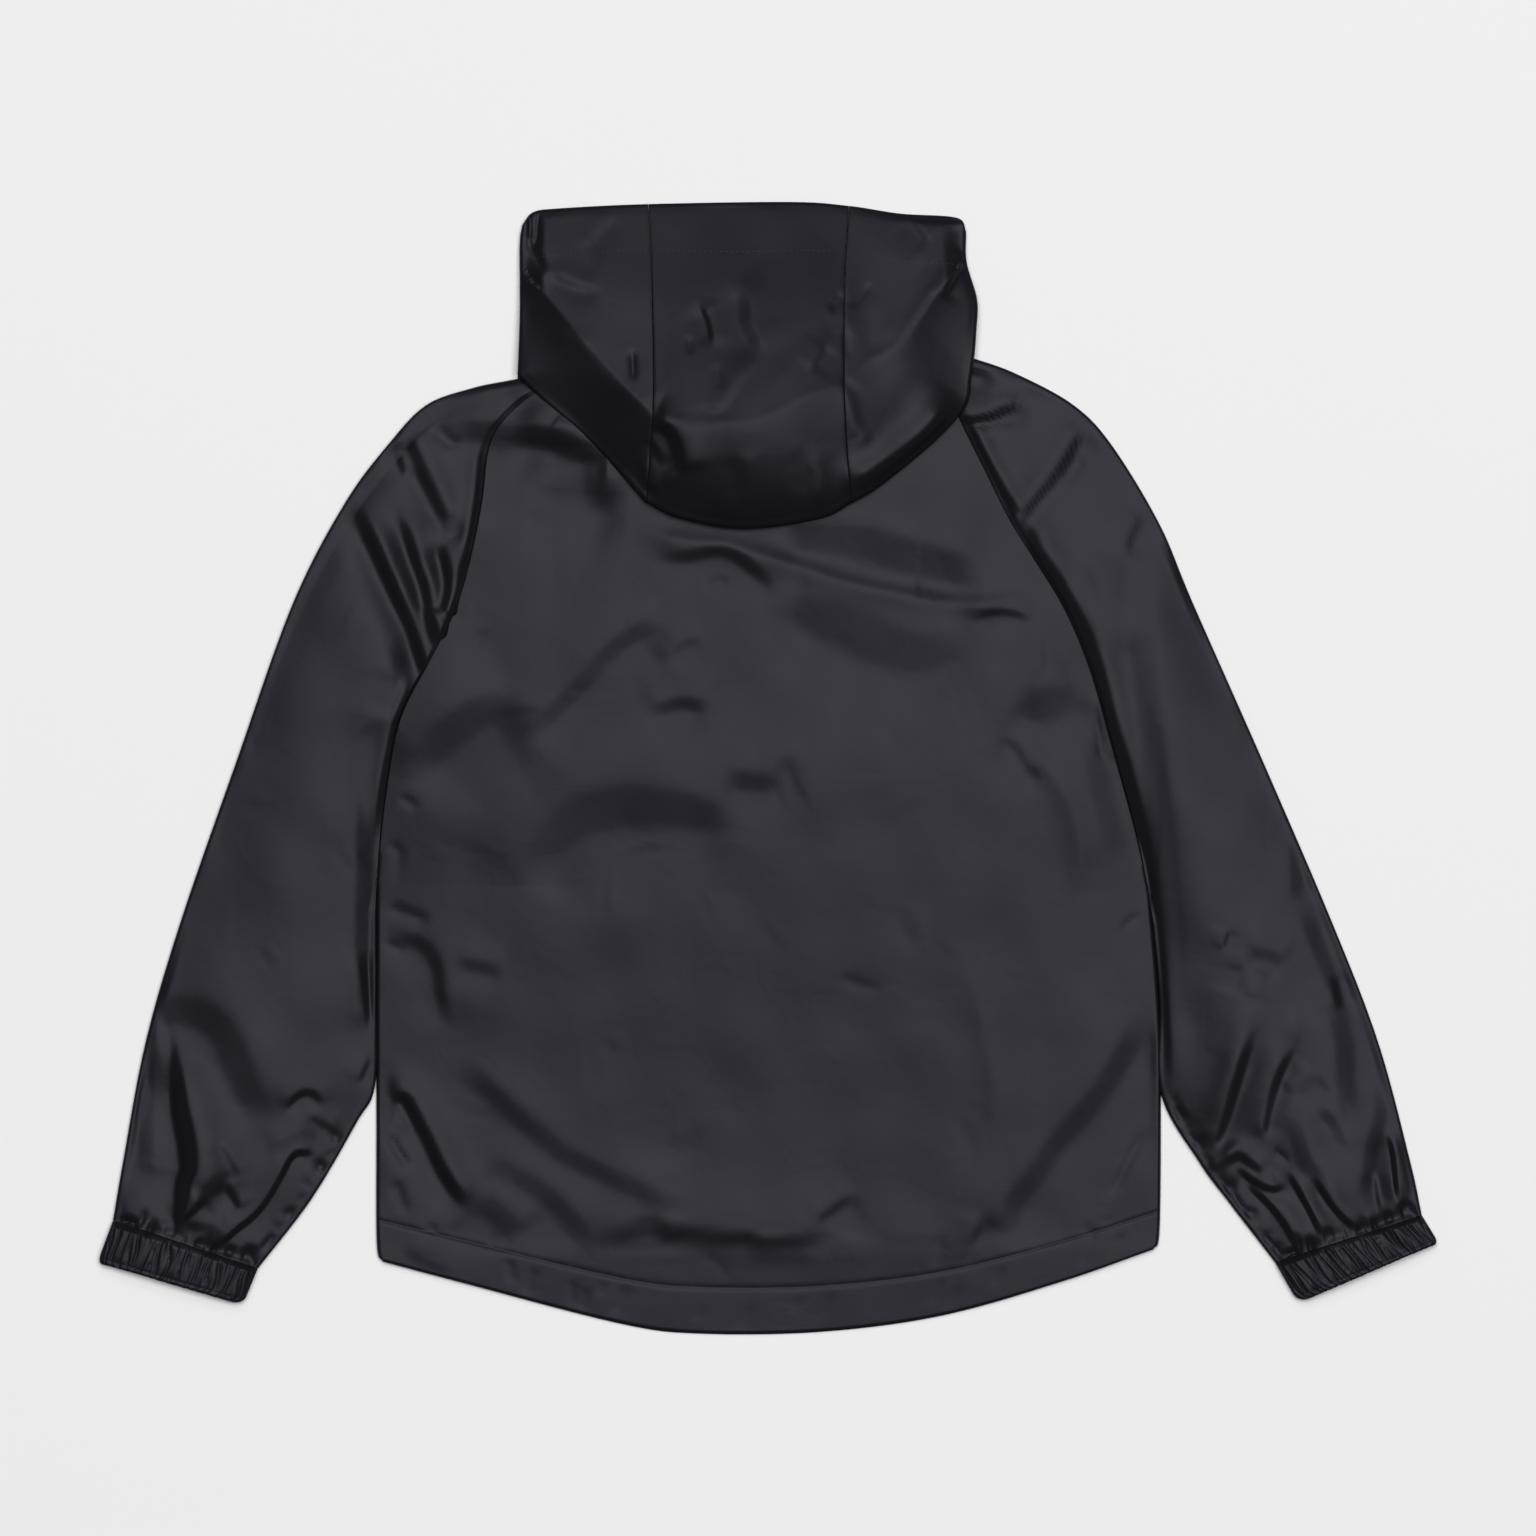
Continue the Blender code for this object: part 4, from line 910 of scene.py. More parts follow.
# ---------------------------------------------------------------- making meshes
def add_mesh(name: str, points: Array, faces: Array | list[list[int]],
             material: Material) -> Piece:
    """Makes a smooth object at the origin.

    Args:
        name: its name.
        points: its points, one a row.
        faces: the point numbers of its faces.
        material: its finish.

    Returns:
        The object.
    """
    mesh = bpy.data.meshes.new(name)
    mesh.from_pydata(points, [], faces)
    mesh.materials.append(material)
    mesh.shade_smooth()
    made = bpy.data.objects.new(name, mesh)
    bpy.context.scene.collection.objects.link(made)
    return made


def apply_modifier(made: Piece, kind: str, **values: float | str) -> None:
    """Adds a modifier to an object and applies it.

    Args:
        made: the object.
        kind: the modifier's type.
        values: its settings.
    """
    bpy.ops.object.select_all(action="DESELECT")
    made.select_set(True)
    bpy.context.view_layer.objects.active = made
    modifier = made.modifiers.new(kind.lower(), kind)
    for key, value in values.items():
        setattr(modifier, key, value)
    bpy.ops.object.modifier_apply(modifier=modifier.name)


def shape_rod(rod: Piece, length: float, move: Callable[[Vector], None]) -> None:
    """Cuts a rod or a block twice across X, then moves its corners.

    Args:
        rod: the active object.
        length: its length along X.
        move: moves the place of one corner.
    """
    bpy.ops.object.transform_apply(location=True, rotation=True, scale=True)
    bpy.ops.object.mode_set(mode="EDIT")
    shape = bmesh.from_edit_mesh(rod.data)
    for edge in shape.edges:
        first, second = (corner.co.x for corner in edge.verts)
        edge.select_set(abs(first - second) > length / 2)
    bmesh.update_edit_mesh(rod.data)
    bpy.ops.mesh.subdivide_edgering(number_cuts=2, interpolation="LINEAR")
    shape = bmesh.from_edit_mesh(rod.data)
    for corner in shape.verts:
        move(corner.co)
    bmesh.update_edit_mesh(rod.data)
    bpy.ops.object.mode_set(mode="OBJECT")


def taken_apart(rod: Piece) -> tuple[Array, list[list[int]]]:
    """Reads a modelled part and removes its object.

    Args:
        rod: the part.

    Returns:
        Its points and its faces.
    """
    points = np.array([corner.co[:] for corner in rod.data.vertices])
    faces = [list(face.vertices) for face in rod.data.polygons]
    bpy.data.objects.remove(rod, do_unlink=True)
    return points, faces


def copies(name: str, part: tuple[Array, list[list[int]]], frames: Array, at: Array,
           material: Material) -> Piece:
    """Copies of a small part, joined in one object.

    Args:
        name: the object's name.
        part: the part's points and faces.
        frames: the directions of the part's X, Y and Z, for each copy.
        at: the copies' places.
        material: their finish.

    Returns:
        The object.
    """
    points, faces = part
    placed = np.einsum("pk,skc->spc", points, frames) + at[:, None, :]
    return add_mesh(name, placed.reshape(-1, 3),
                    [[corner + len(points) * number for corner in face]
                     for number in range(len(at)) for face in faces], material)


def grid_quads(rows: int, columns: int, closed: bool = False) -> Array:
    """Quads of a grid stored row by row.

    Args:
        rows: number of its rows.
        columns: number of its columns.
        closed: whether the last column is joined to the first, for a tube.

    Returns:
        Four point numbers a row.
    """
    row, column = np.meshgrid(np.arange(rows - 1), np.arange(columns if closed else columns - 1),
                              indexing="ij")
    here, following = row * columns + column, row * columns + (column + 1) % columns
    return np.stack([here, following, following + columns, here + columns],
                    axis=-1).reshape(-1, 4)


def declare(piece: Piece, slot: str, *nodes: str) -> None:
    """Puts a piece on the jacket's body and hides the CAD nodes it stands for.

    Args:
        piece: the piece.
        slot: its material slot; not used.
        nodes: the CAD nodes it replaces.
    """
    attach(piece, "jacket")
    if nodes:
        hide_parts(*nodes)


@dataclass
class ClothPiece:
    """A cloth piece that stands for a CAD node."""

    name: str
    material: Material
    node: str
    slot: str = "shell_cloth"
    wall: float = SIZES.wall
    closed: bool = False  # whether each row of points is a ring
    flipped: bool = False  # whether its faces are turned over

    def build(self, *grids: Array) -> Piece:
        """Joins grids of points where they share some, and gives them a wall.

        Args:
            grids: points in rows and columns.

        Returns:
            The piece.
        """
        points, quads, start = [], [], 0
        for grid in grids:
            faces = grid_quads(*grid.shape[:2], self.closed)
            quads.append((faces[:, ::-1] if self.flipped else faces) + start)
            points.append(grid.reshape(-1, 3))
            start += len(points[-1])
        made = add_mesh(self.name, np.vstack(points), np.vstack(quads), self.material)
        if len(grids) > 1:
            shape = bmesh.new()
            shape.from_mesh(made.data)
            bmesh.ops.remove_doubles(shape, verts=shape.verts, dist=2e-6)
            shape.to_mesh(made.data)
            shape.free()
        apply_modifier(made, "SOLIDIFY", thickness=self.wall, offset=0.0)
        declare(made, self.slot, self.node)
        return made


def coons(low: Array, high: Array, first: Array, last: Array, across: Array,
          along: Array) -> Array:
    """Plan points inside four edges that share their corners.

    Args:
        low: the edge at the first row, one point for each column.
        high: the edge at the last row.
        first: the edge at the first column, one point for each row.
        last: the edge at the last column.
        across: each column's share of the way from the first to the last.
        along: each row's share of the way from the first to the last.

    Returns:
        The points in rows and columns.
    """
    u, v = across[None, :, None], along[:, None, None]
    corners = between(between(low[0], low[-1], u), between(high[0], high[-1], u), v)
    return (between(low[None], high[None], v)
            + between(first[:, None], last[:, None], u) - corners)


def with_heights(plan: Array, heights: Value) -> Array:
    """Plan points and heights as points in space."""
    return np.concatenate([plan, np.broadcast_to(heights, plan.shape[:-1])[..., None]], axis=-1)


# ---------------------------------------------------------------- stitches
@dataclass
class Stitching:
    """Rows of topstitching, each joined to the piece it is sewn on."""

    material: Material
    pitch: float = 0.0031
    length: float = 0.0024
    radius: float = 0.00026
    sunk: float = 0.00012
    dive: float = 1.1  # how far its ends go down, in radii

    def __post_init__(self) -> None:
        """Models the stitch that every row repeats."""
        self.stitch = self.model_stitch()

    def model_stitch(self) -> tuple[Array, list[list[int]]]:
        """A short bent thread that dives into the cloth at both of its ends.

        Returns:
            Its points, along X with +Z off the cloth, and its faces.
        """
        def lower(place: Vector) -> None:
            """Lowers a corner, most at the ends."""
            place.z -= self.dive * self.radius * (2 * abs(place.x) / self.length) ** 2

        bpy.ops.object.select_all(action="DESELECT")
        bpy.ops.mesh.primitive_cylinder_add(vertices=5, radius=self.radius, depth=self.length,
                                            end_fill_type="NGON",
                                            rotation=(0.0, math.pi / 2, 0.0))
        stitch = bpy.context.active_object
        shape_rod(stitch, self.length, lower)
        return taken_apart(stitch)

    def row(self, name: str, grid: Array, number: int, columns: slice = slice(None)) -> Piece:
        """Stitches along one row of a piece's grid of points.

        Args:
            name: name of the row of stitches.
            grid: the piece's points.
            number: which row of it they follow.
            columns: the columns between which they lie.

        Returns:
            The row of stitches, as one object.
        """
        line, up = grid[number, columns], grid_normals(grid)[number, columns]
        steps = np.linalg.norm(np.diff(line, axis=0), axis=1)
        places = np.concatenate([[0.0], np.cumsum(steps)])
        middles = np.arange(self.pitch, places[-1] - self.pitch / 2, self.pitch)
        ahead = (along_line(middles + self.length / 2, places, line)
                 - along_line(middles - self.length / 2, places, line))
        ahead /= np.linalg.norm(ahead, axis=1, keepdims=True)
        off = along_line(middles, places, up)
        off -= (off * ahead).sum(1, keepdims=True) * ahead
        off /= np.linalg.norm(off, axis=1, keepdims=True)
        at = along_line(middles, places, line) + off * (SIZES.wall / 2 - self.sunk)
        frames = np.stack([ahead, np.cross(off, ahead), off], axis=1)
        made = copies(name, self.stitch, frames, at, self.material)
        declare(made, "shell_cloth")
        return made


def grid_normals(grid: Array) -> Array:
    """Upward directions of a grid of points.

    Args:
        grid: the points in rows and columns.

    Returns:
        One direction for each of them.
    """
    along, across = np.gradient(grid, axis=0), np.gradient(grid, axis=1)
    normals = np.cross(across, along)
    normals /= np.maximum(np.linalg.norm(normals, axis=-1, keepdims=True), 1e-12)
    return normals * np.where(normals[..., 2:] < 0, -1.0, 1.0)


# ---------------------------------------------------------------- sleeves and cuffs
@dataclass(frozen=True)
class Section:
    """Places across a sleeve, at one place along it."""

    along: float  # from the raglan seam, 0, to the cuff, 1
    across: Array  # from the outer fold, 0, to the inner one, 1
    width: float

    @property
    def edge(self) -> Array:
        """Distances from the nearest fold."""
        return np.minimum(self.across, 1 - self.across) * self.width


@dataclass
class Sleeve:
    """A raglan sleeve folded flat, from under the edge of the back to the gathered cuff."""

    side: Side
    relief: Relief
    cloth: Material
    stitching: Stitching
    rings: int = 196
    steps: int = 132
    under_steps: int = 22
    seam_sections: Floats = (0.0, 0.0022, 0.0034, 0.0046, 0.0062, 0.0080, 0.0100)
    cuff_sections: Floats = (0.0060, 0.0040, 0.0024, 0.0014, 0.0006, 0.0)
    turn_places: Floats = (0.0, 0.03, 0.12, 0.3, 0.6, 1.0)
    fan_end: float = 0.40  # share of the length in which its sections turn from the seam
    fan_outer: float = 0.56  # how far along the outer fold the last of these lies
    fan_inner: float = 0.08
    raglan_end: float = 0.1  # share of the length from which its own width counts
    rise_places: Floats = (0.0, 0.25, 0.7, 1.0)
    rises: Floats = (0.0085, 0.0090, 0.0088, 0.0080)
    arch_power: float = 1.2
    swelling: float = 0.00025
    least_top: float = 0.0030
    tuck_end: float = 0.0034  # from its upper end to the edge of the back
    tuck_margin: float = 0.012
    drop_start: float = 0.0012
    drop_width: float = 0.0019
    drop_margin: float = 0.010
    end_dip: float = 0.0004
    end_margin: float = 0.004
    cuff_depth: float = 0.026
    cuff_gathers: int = 20
    cuff_edge: float = 0.0040
    cuff_rises: Pair = (0.0084, 0.0080)
    cuff_scatter: float = 0.32  # how far gathers lie off even places, in spacings
    cuff_strengths: Pair = (0.45, 1.25)
    cuff_wave: float = 0.0013
    cuff_wave_shape: Pair = (0.6, 0.6)  # power of its crests, and its middle
    cuff_wave_fall: Pair = (1.15, 0.55)  # share of it at the seam, and how much of this ends
    # size and rates along and across the cuff: sway of the gathers, their change, finer folds
    cuff_sway: Triple = (0.16, 5.0, 1.7)
    cuff_change: Triple = (0.4, 4.2, 2.9)
    cuff_fine: Triple = (0.22, 0.9, 1.63)
    cuff_rounding: float = 0.23  # share of its depth in which its corners turn
    cuff_corners: Pair = (0.025, 0.070)  # roundings, as shares of its width
    cuff_blend: float = 0.16  # share of its depth that still follows the sleeve's end
    cuff_crease_share: float = 0.45
    # place along the cuff, depth, width and power of the arch of each sewn line
    cuff_dips: tuple[Floats, ...] = (
        (0.0, 0.0005, 0.0012, 0.4), (1.0, 0.0006, 0.0009, 0.4), (0.9, 0.0003, 0.0010, 1.0))
    cuff_lean: float = 0.035  # how far the gathers slant, as a share of the width
    cuff_stitch_place: float = 0.9
    cuff_starts: Floats = (0.012, 0.03, 0.05, 0.08)  # fine rings beside the seam
    cuff_ends: Floats = (0.965, 0.985, 0.996, 1.0)  # and at the cuff's end
    cuff_rings: int = 36
    cuff_steps: int = 170
    cuff_under_steps: int = 50

    def __post_init__(self) -> None:
        """Makes the plan's lines curves."""
        plan = SLEEVE_PLANS[self.side]
        self.outer, self.inner = Curve(plan["outer"]), Curve(plan["inner"])
        self.raglan = Curve(plan["raglan"])
        self.cuff_end = np.array(plan["cuff_end"]) * MM

    def seam(self, across: Array, aside: Value = 0.0) -> Array:
        """Plan points of the sleeve's upper end.

        Args:
            across: shares of the way from the shoulder over the neck to the underarm.
            aside: how far they are moved off the seam, away from the body, in metres.

        Returns:
            The plan points.
        """
        neck = between(self.outer.at(0.0), self.raglan.at(0.0),
                       (across / SIZES.neck_share)[:, None])
        share = np.clip((across - SIZES.neck_share) / (1 - SIZES.neck_share), 0, 1)
        seam = self.raglan.beside(share, self.side.sign * np.broadcast_to(aside, across.shape))
        return np.where((across < SIZES.neck_share)[:, None], neck, seam)

    def ends(self, along: float) -> tuple[Array, Array]:
        """Plan points of a section's two folds."""
        outer, inner = (np.interp(along, (0.0, self.fan_end, 1.0), (0.0, fan, 1.0))
                        for fan in (self.fan_outer, self.fan_inner))
        return self.outer.at(outer), self.inner.at(inner)

    def plan(self, section: Section, aside: Value) -> Array:
        """Plan points of a section.

        Args:
            section: the section.
            aside: how far the section at the seam is moved away from the body.

        Returns:
            The plan points.
        """
        across = section.across[:, None]
        straight = between(*self.ends(section.along), across)
        chord = between(self.outer.at(0.0), self.inner.at(0.0), across)
        fan = max(0.0, 1 - section.along / self.fan_end) ** 2
        return straight + (self.seam(section.across, aside) - chord) * fan

    def height(self, section: Section) -> Array:
        """Height of the upper layer: a quarter turn at each fold and an arch between.

        Args:
            section: the section.

        Returns:
            Heights of its points.
        """
        low = SIZES.floor_layer + SIZES.fold_radius
        arch = np.sin(math.pi * np.clip(section.across, 0, 1)) ** self.arch_power
        rise = float(np.interp(section.along, self.rise_places, self.rises))
        return (low + (SIZES.turn_high - low) * turned(section.edge, SIZES.turn_reach)
                + (rise - SIZES.turn_high) * arch)

    def seam_height(self, across: Array) -> Array:
        """Heights of the raglan seam on the upper side, from neck to underarm."""
        return self.height(Section(0.0, across, SIZES.raglan_width))

    def tops(self, section: Section, plan: Array) -> Array:
        """Heights of the creased upper layer.

        Args:
            section: the section.
            plan: its plan points.

        Returns:
            Heights of its points.
        """
        edge = section.edge
        creased = self.relief.heights(plan) + swell(plan, self.swelling)
        heights = self.height(section) + creased * eased(edge / SIZES.crease_margin)
        return np.maximum(heights, np.minimum(SIZES.floor_layer + 2 * edge, self.least_top))

    def ring(self, along: float) -> Array:
        """Points round a section, over the sleeve and back under it.

        Args:
            along: its place from the seam, 0, to the cuff, 1.

        Returns:
            The points, one a row.
        """
        width = between(SIZES.raglan_width, float(np.linalg.norm(np.subtract(*self.ends(along)))),
                        eased(along / self.raglan_end))
        turn = SIZES.turn_reach / width * np.array(self.turn_places)
        over = Section(along, graded(turn, self.steps, 1 - turn[::-1]), width)
        edge = over.edge
        done, left = along * self.outer.length, (1 - along) * self.outer.length
        tucked = max(0.0, 1 - done / self.tuck_end) * eased(edge / self.tuck_margin)
        plan = self.plan(over, SIZES.seam_inset
                         - (SIZES.seam_overlap + SIZES.seam_inset) * tucked)
        down = beside(max(0.0, done - self.drop_start), self.drop_width)
        heights = (self.tops(over, plan)
                   - SIZES.seam_drop * down * eased(edge / self.drop_margin)
                   - self.end_dip * max(0.0, 1 - left / self.cuff_sections[0])
                   * eased(edge / self.end_margin))
        under = Section(along, np.interp(
            np.linspace(0, 1, self.under_steps + 2), np.linspace(0, 1, 9),
            [*turn[:4], 0.5, *(1 - turn[3::-1])]), width)
        lean = np.maximum(0.0, SIZES.fold_radius - under.edge)
        below = SIZES.floor_layer + SIZES.fold_radius - np.sqrt(SIZES.fold_radius**2 - lean**2)
        return np.vstack([with_heights(plan, heights),
                          with_heights(self.plan(under, SIZES.seam_inset), below)[-2:0:-1]])

    def build_piece(self, kind: str, rings: Iterable[Array]) -> Piece:
        """Builds a tube of cloth from its rings of points."""
        name = f"{kind}_{self.side.value}"
        return ClothPiece(f"{name}_cloth", self.cloth, name, closed=True,
                          flipped=self.side is Side.LEFT).build(np.array(list(rings)))

    def build(self) -> Piece:
        """Builds the sleeve.

        Returns:
            The piece.
        """
        start = np.array(self.seam_sections) / self.outer.length
        end = 1 - np.array(self.cuff_sections) / self.outer.length
        return self.build_piece("sleeve", map(self.ring, graded(start, self.rings, end)))

    def cuff_gather(self, lean: Array, along: float, shares: Array, strengths: Array) -> Array:
        """Waves of the cloth gathered on the elastic.

        Args:
            lean: shares of the way across the cuff.
            along: how far from the cuff's seam they lie, as a share of its depth.
            shares: where the gathers lie across the cuff.
            strengths: how strong each of them is.

        Returns:
            How far the cloth rises and falls.
        """
        gather = np.interp(lean, shares, np.arange(len(shares)))
        size, down, aside = self.cuff_sway
        gather = gather + size * np.sin(down * along + aside * gather)
        power, middle = self.cuff_wave_shape
        wave = np.abs(np.cos(math.pi * gather)) ** power - middle
        size, down, aside = self.cuff_change
        wave *= 1 + size * np.sin(down * along + aside * gather)
        size, down, aside = self.cuff_fine
        wave += size * np.sin(2 * math.pi * (aside * gather + down * along))
        start, fall = self.cuff_wave_fall
        strength = np.interp(lean, shares, strengths)
        return wave * self.cuff_wave * (start - fall * along) * strength

    def build_cuff(self) -> Piece:
        """Builds the gathered elastic casing and its row of stitches.

        Returns:
            The piece.
        """
        random = np.random.default_rng(11 if self.side is Side.LEFT else 23)
        shares = np.linspace(0, 1, self.cuff_gathers + 1)
        scatter = random.uniform(-self.cuff_scatter, self.cuff_scatter, self.cuff_gathers - 1)
        shares[1:-1] += scatter / self.cuff_gathers
        strengths = random.uniform(*self.cuff_strengths, self.cuff_gathers + 1)
        starts = [self.outer.at(1.0), self.inner.at(1.0)]
        turn = np.concatenate([
            np.linspace(0, math.pi, self.cuff_steps + 1),
            np.linspace(math.pi, 2 * math.pi, self.cuff_under_steps + 1)[1:-1]])
        across, arch = (1 - np.cos(turn)) / 2, np.abs(np.sin(turn))
        end = Section(1.0, across, float(np.linalg.norm(starts[1] - starts[0])))
        sleeve_end = self.tops(end, between(*starts, across[:, None]))
        rings = []
        for along in (*self.cuff_starts, *np.linspace(0.11, 0.94, self.cuff_rings),
                      *self.cuff_ends):
            first, last = between(np.array(starts), self.cuff_end, along)
            curve = 1 - turned(1 - along, self.cuff_rounding)
            corners = np.array(self.cuff_corners)[:, None] * curve * (last - first)
            plan = between(first + corners[0], last - corners[1], across[:, None])
            lean = across + self.cuff_lean * self.side.sign * (along - 0.5)
            wave = self.cuff_gather(lean, along, shares, strengths)
            wave += self.cuff_crease_share * self.relief.heights(plan)
            top = between(self.cuff_edge, between(*self.cuff_rises, along), arch**0.6)
            top = between(sleeve_end, top + wave * arch**0.4, eased(along / self.cuff_blend))
            for place, depth, width, power in self.cuff_dips:
                top -= depth * beside((along - place) * self.cuff_depth, width) * arch**power
            below = between(self.cuff_edge, SIZES.floor_layer, arch**0.45)
            rings.append(with_heights(plan, np.where(turn <= math.pi, top, below)))
        made = self.build_piece("cuff", rings)
        grid = np.array(rings)
        reach = self.cuff_stitch_place * np.linalg.norm(self.cuff_end[0] - starts[0])
        row = int(np.argmin(np.abs(np.linalg.norm(grid[:, 0, :2] - starts[0], axis=1) - reach)))
        self.stitching.row(f"cuff_{self.side.value}_stitches", grid[:, 6:self.cuff_steps - 5],
                           row)
        return made


# ---------------------------------------------------------------- body
@dataclass
class Body:
    """The back panel over two fronts that lie flat on the surface."""

    sleeves: dict[Side, Sleeve]
    relief: Relief
    cloth: Material
    stitching: Stitching
    columns: int = 196
    side_rows: int = 84
    raglan_rows: int = 104
    hidden_rows: int = 12
    front_rows: int = 150
    front_columns: int = 66
    edge_steps: Floats = (0.0, 0.0004, 0.0010, 0.0018, 0.0026, 0.0034, 0.0046)
    hem_steps: Floats = (0.0, 0.0005, 0.0011, 0.0019, 0.0030)
    casing_steps: Floats = (-0.0014, -0.0006, 0.0, 0.0006, 0.0014)
    casing_rows: int = 11
    side_length: float = 0.2116  # from the hem to the underarm
    hem_fade: Pair = (0.21, 1.2)  # distance from the hem at which its curve ends, and power
    underarm_place: float = 0.9965  # along the raglan seam from the neck
    hidden_places: Pair = (0.30, 0.28)  # where the rows go on under the hood
    rise: float = 0.0120
    neck_rise: float = 0.0090
    neck_place: Pair = (0.110, 0.070)  # start of its climb along Y, and length
    hem_rise: float = 0.0036
    tail_drop: float = 0.0420
    tail_end: float = 0.0008  # height over the surface's layer at the tail's tip
    hem_climb: float = 0.300
    edge_rounding: float = 0.070
    edge_margin: float = 0.007
    swelling: float = 0.00022
    zip_half_gap: float = 0.0055
    over_front: Pair = (0.35, 0.012)  # share of the creases at the fronts' hem, and its reach
    casing_step: Pair = (0.00015, 0.0024)  # rise and width of the step down to the casing
    casing_dip: float = 0.0004
    hem_dip: Pair = (0.0010, 0.0009)  # depth and width
    front_inset: float = 0.0006  # from the back's side seam
    front_tuck: float = 0.0008  # from the raglan seam
    front_rims: Pair = (0.2, 0.45)  # the fronts' size, about, for the fading at their edges
    front_margin: float = 0.02
    front_swelling: float = 0.00012

    def __post_init__(self) -> None:
        """Makes the plan's lines curves."""
        self.sides = {side: Curve(BODY_SIDES[side]) for side in Side}
        self.hem, self.neck = Curve(HEM), Curve(BACK_NECK)

    @staticmethod
    def front_hem(x: Value) -> Value:
        """The straight line of the fronts' hem."""
        (x0, y0), (x1, y1) = np.array((HEM[0], HEM[-1])) * MM
        return between(y0, y1, (x - x0) / (x1 - x0))

    def crown(self, plan: Array, past: Array) -> Array:
        """Heights of the back away from its edges.

        Args:
            plan: plan points in rows and columns.
            past: how far above the fronts' hem they lie, along Y.

        Returns:
            Heights in rows and columns.
        """
        start, length = self.neck_place
        rise = between(self.hem_rise, self.rise, eased(past / self.hem_climb))
        rise = between(rise, self.neck_rise, eased((plan[..., 1] - start) / length))
        tail = between(self.hem_rise, SIZES.floor_layer + self.tail_end,
                       np.clip(-past / self.tail_drop, 0, 1))
        return np.where(past < 0, tail, rise)

    def rows(self) -> tuple[Array, ...]:
        """Where the rows of the back begin and end.

        Returns:
            Their left and right plan points, the heights there, their shares of the hem's
            and the neck's curves, and their distances from the hem along the sides.
        """
        casing = SIZES.casing
        low = np.concatenate([self.hem_steps,
                              np.linspace(0.0044, casing - 0.0030, self.casing_rows),
                              casing + np.array(self.casing_steps),
                              np.linspace(casing + 0.003, self.side_length, self.side_rows)])
        seen, hidden = self.hidden_places
        across = np.append(
            np.linspace(self.underarm_place - SIZES.neck_share, seen, self.raglan_rows),
            np.linspace(hidden, SIZES.neck_share, self.hidden_rows))
        ends, heights = [], []
        for side, sleeve in self.sleeves.items():
            ends.append(np.vstack([self.sides[side].at(low / self.side_length),
                                   sleeve.seam(across, -SIZES.seam_inset)]))
            heights.append(np.concatenate([np.full(len(low), SIZES.side_rise),
                                           sleeve.seam_height(across) + SIZES.wall / 2]))
        count = len(across)
        reach, power = self.hem_fade
        hem_share = np.append(np.maximum(0.0, 1 - (low / reach) ** power), np.zeros(count))
        neck_share = np.append(np.zeros(len(low)), eased(np.arange(1, count + 1) / count) ** 2)
        return (*ends, *heights, hem_share, neck_share, np.append(low, np.ones(count)))

    def back_grid(self) -> tuple[Array, Array]:
        """Points of the back in rows, from the hem to the neck.

        Returns:
            The grid, and the distances of its rows from the hem.
        """
        left, right, left_high, right_high, hem_share, neck_share, depth = self.rows()
        near = np.array(self.edge_steps) / np.linalg.norm(right - left, axis=1)[:, None]
        inner = between(near[:, -1:], 1 - near[:, -1:],
                        np.linspace(0, 1, self.columns)[None, 1:-1])
        across = np.hstack([near, inner, 1 - near[:, ::-1]])
        plan = between(left[:, None], right[:, None], across[..., None])
        for curve, share in ((self.hem, hem_share), (self.neck, neck_share)):
            bulge = curve.at(across) - between(curve.line[0], curve.line[-1], across[..., None])
            plan = plan + share[:, None, None] * bulge
        past = plan[..., 1] - self.front_hem(plan[..., 0])
        inside = np.minimum(np.linalg.norm(plan - left[:, None], axis=-1),
                            np.linalg.norm(plan - right[:, None], axis=-1))
        edges = np.maximum(between(left_high[:, None], right_high[:, None], across),
                           SIZES.turn_high * turned(inside, SIZES.turn_reach))
        heights = between(edges, self.crown(plan, past),
                          1 - np.exp(-inside / self.edge_rounding))
        hem = depth[:, None]
        fade = np.where(hem <= self.side_length, eased(inside / self.edge_margin), 1.0)
        least, reach = self.over_front
        over_front = between(least, 1.0, eased(past / reach))
        creased = self.relief.heights(plan) + swell(plan, self.swelling)
        heights += creased * fade * over_front
        step, reach = self.casing_step
        heights += step * eased((SIZES.casing - hem) / reach + 0.5)
        heights -= self.casing_dip * beside(hem - SIZES.casing, SIZES.dip_width)
        heights -= self.hem_dip[0] * beside(hem, self.hem_dip[1])
        lowest = np.where(past > 0.001, SIZES.side_rise, SIZES.floor_layer)
        return with_heights(plan, np.maximum(heights, lowest)), depth

    def build_back(self) -> Piece:
        """Builds the back and the row of stitches on its hem.

        Returns:
            The piece.
        """
        grid, depth = self.back_grid()
        made = ClothPiece("back_cloth", self.cloth, "back").build(grid)
        casing = int(np.argmin(np.abs(depth - SIZES.casing)))
        self.stitching.row("hem_stitches", grid, casing)
        return made

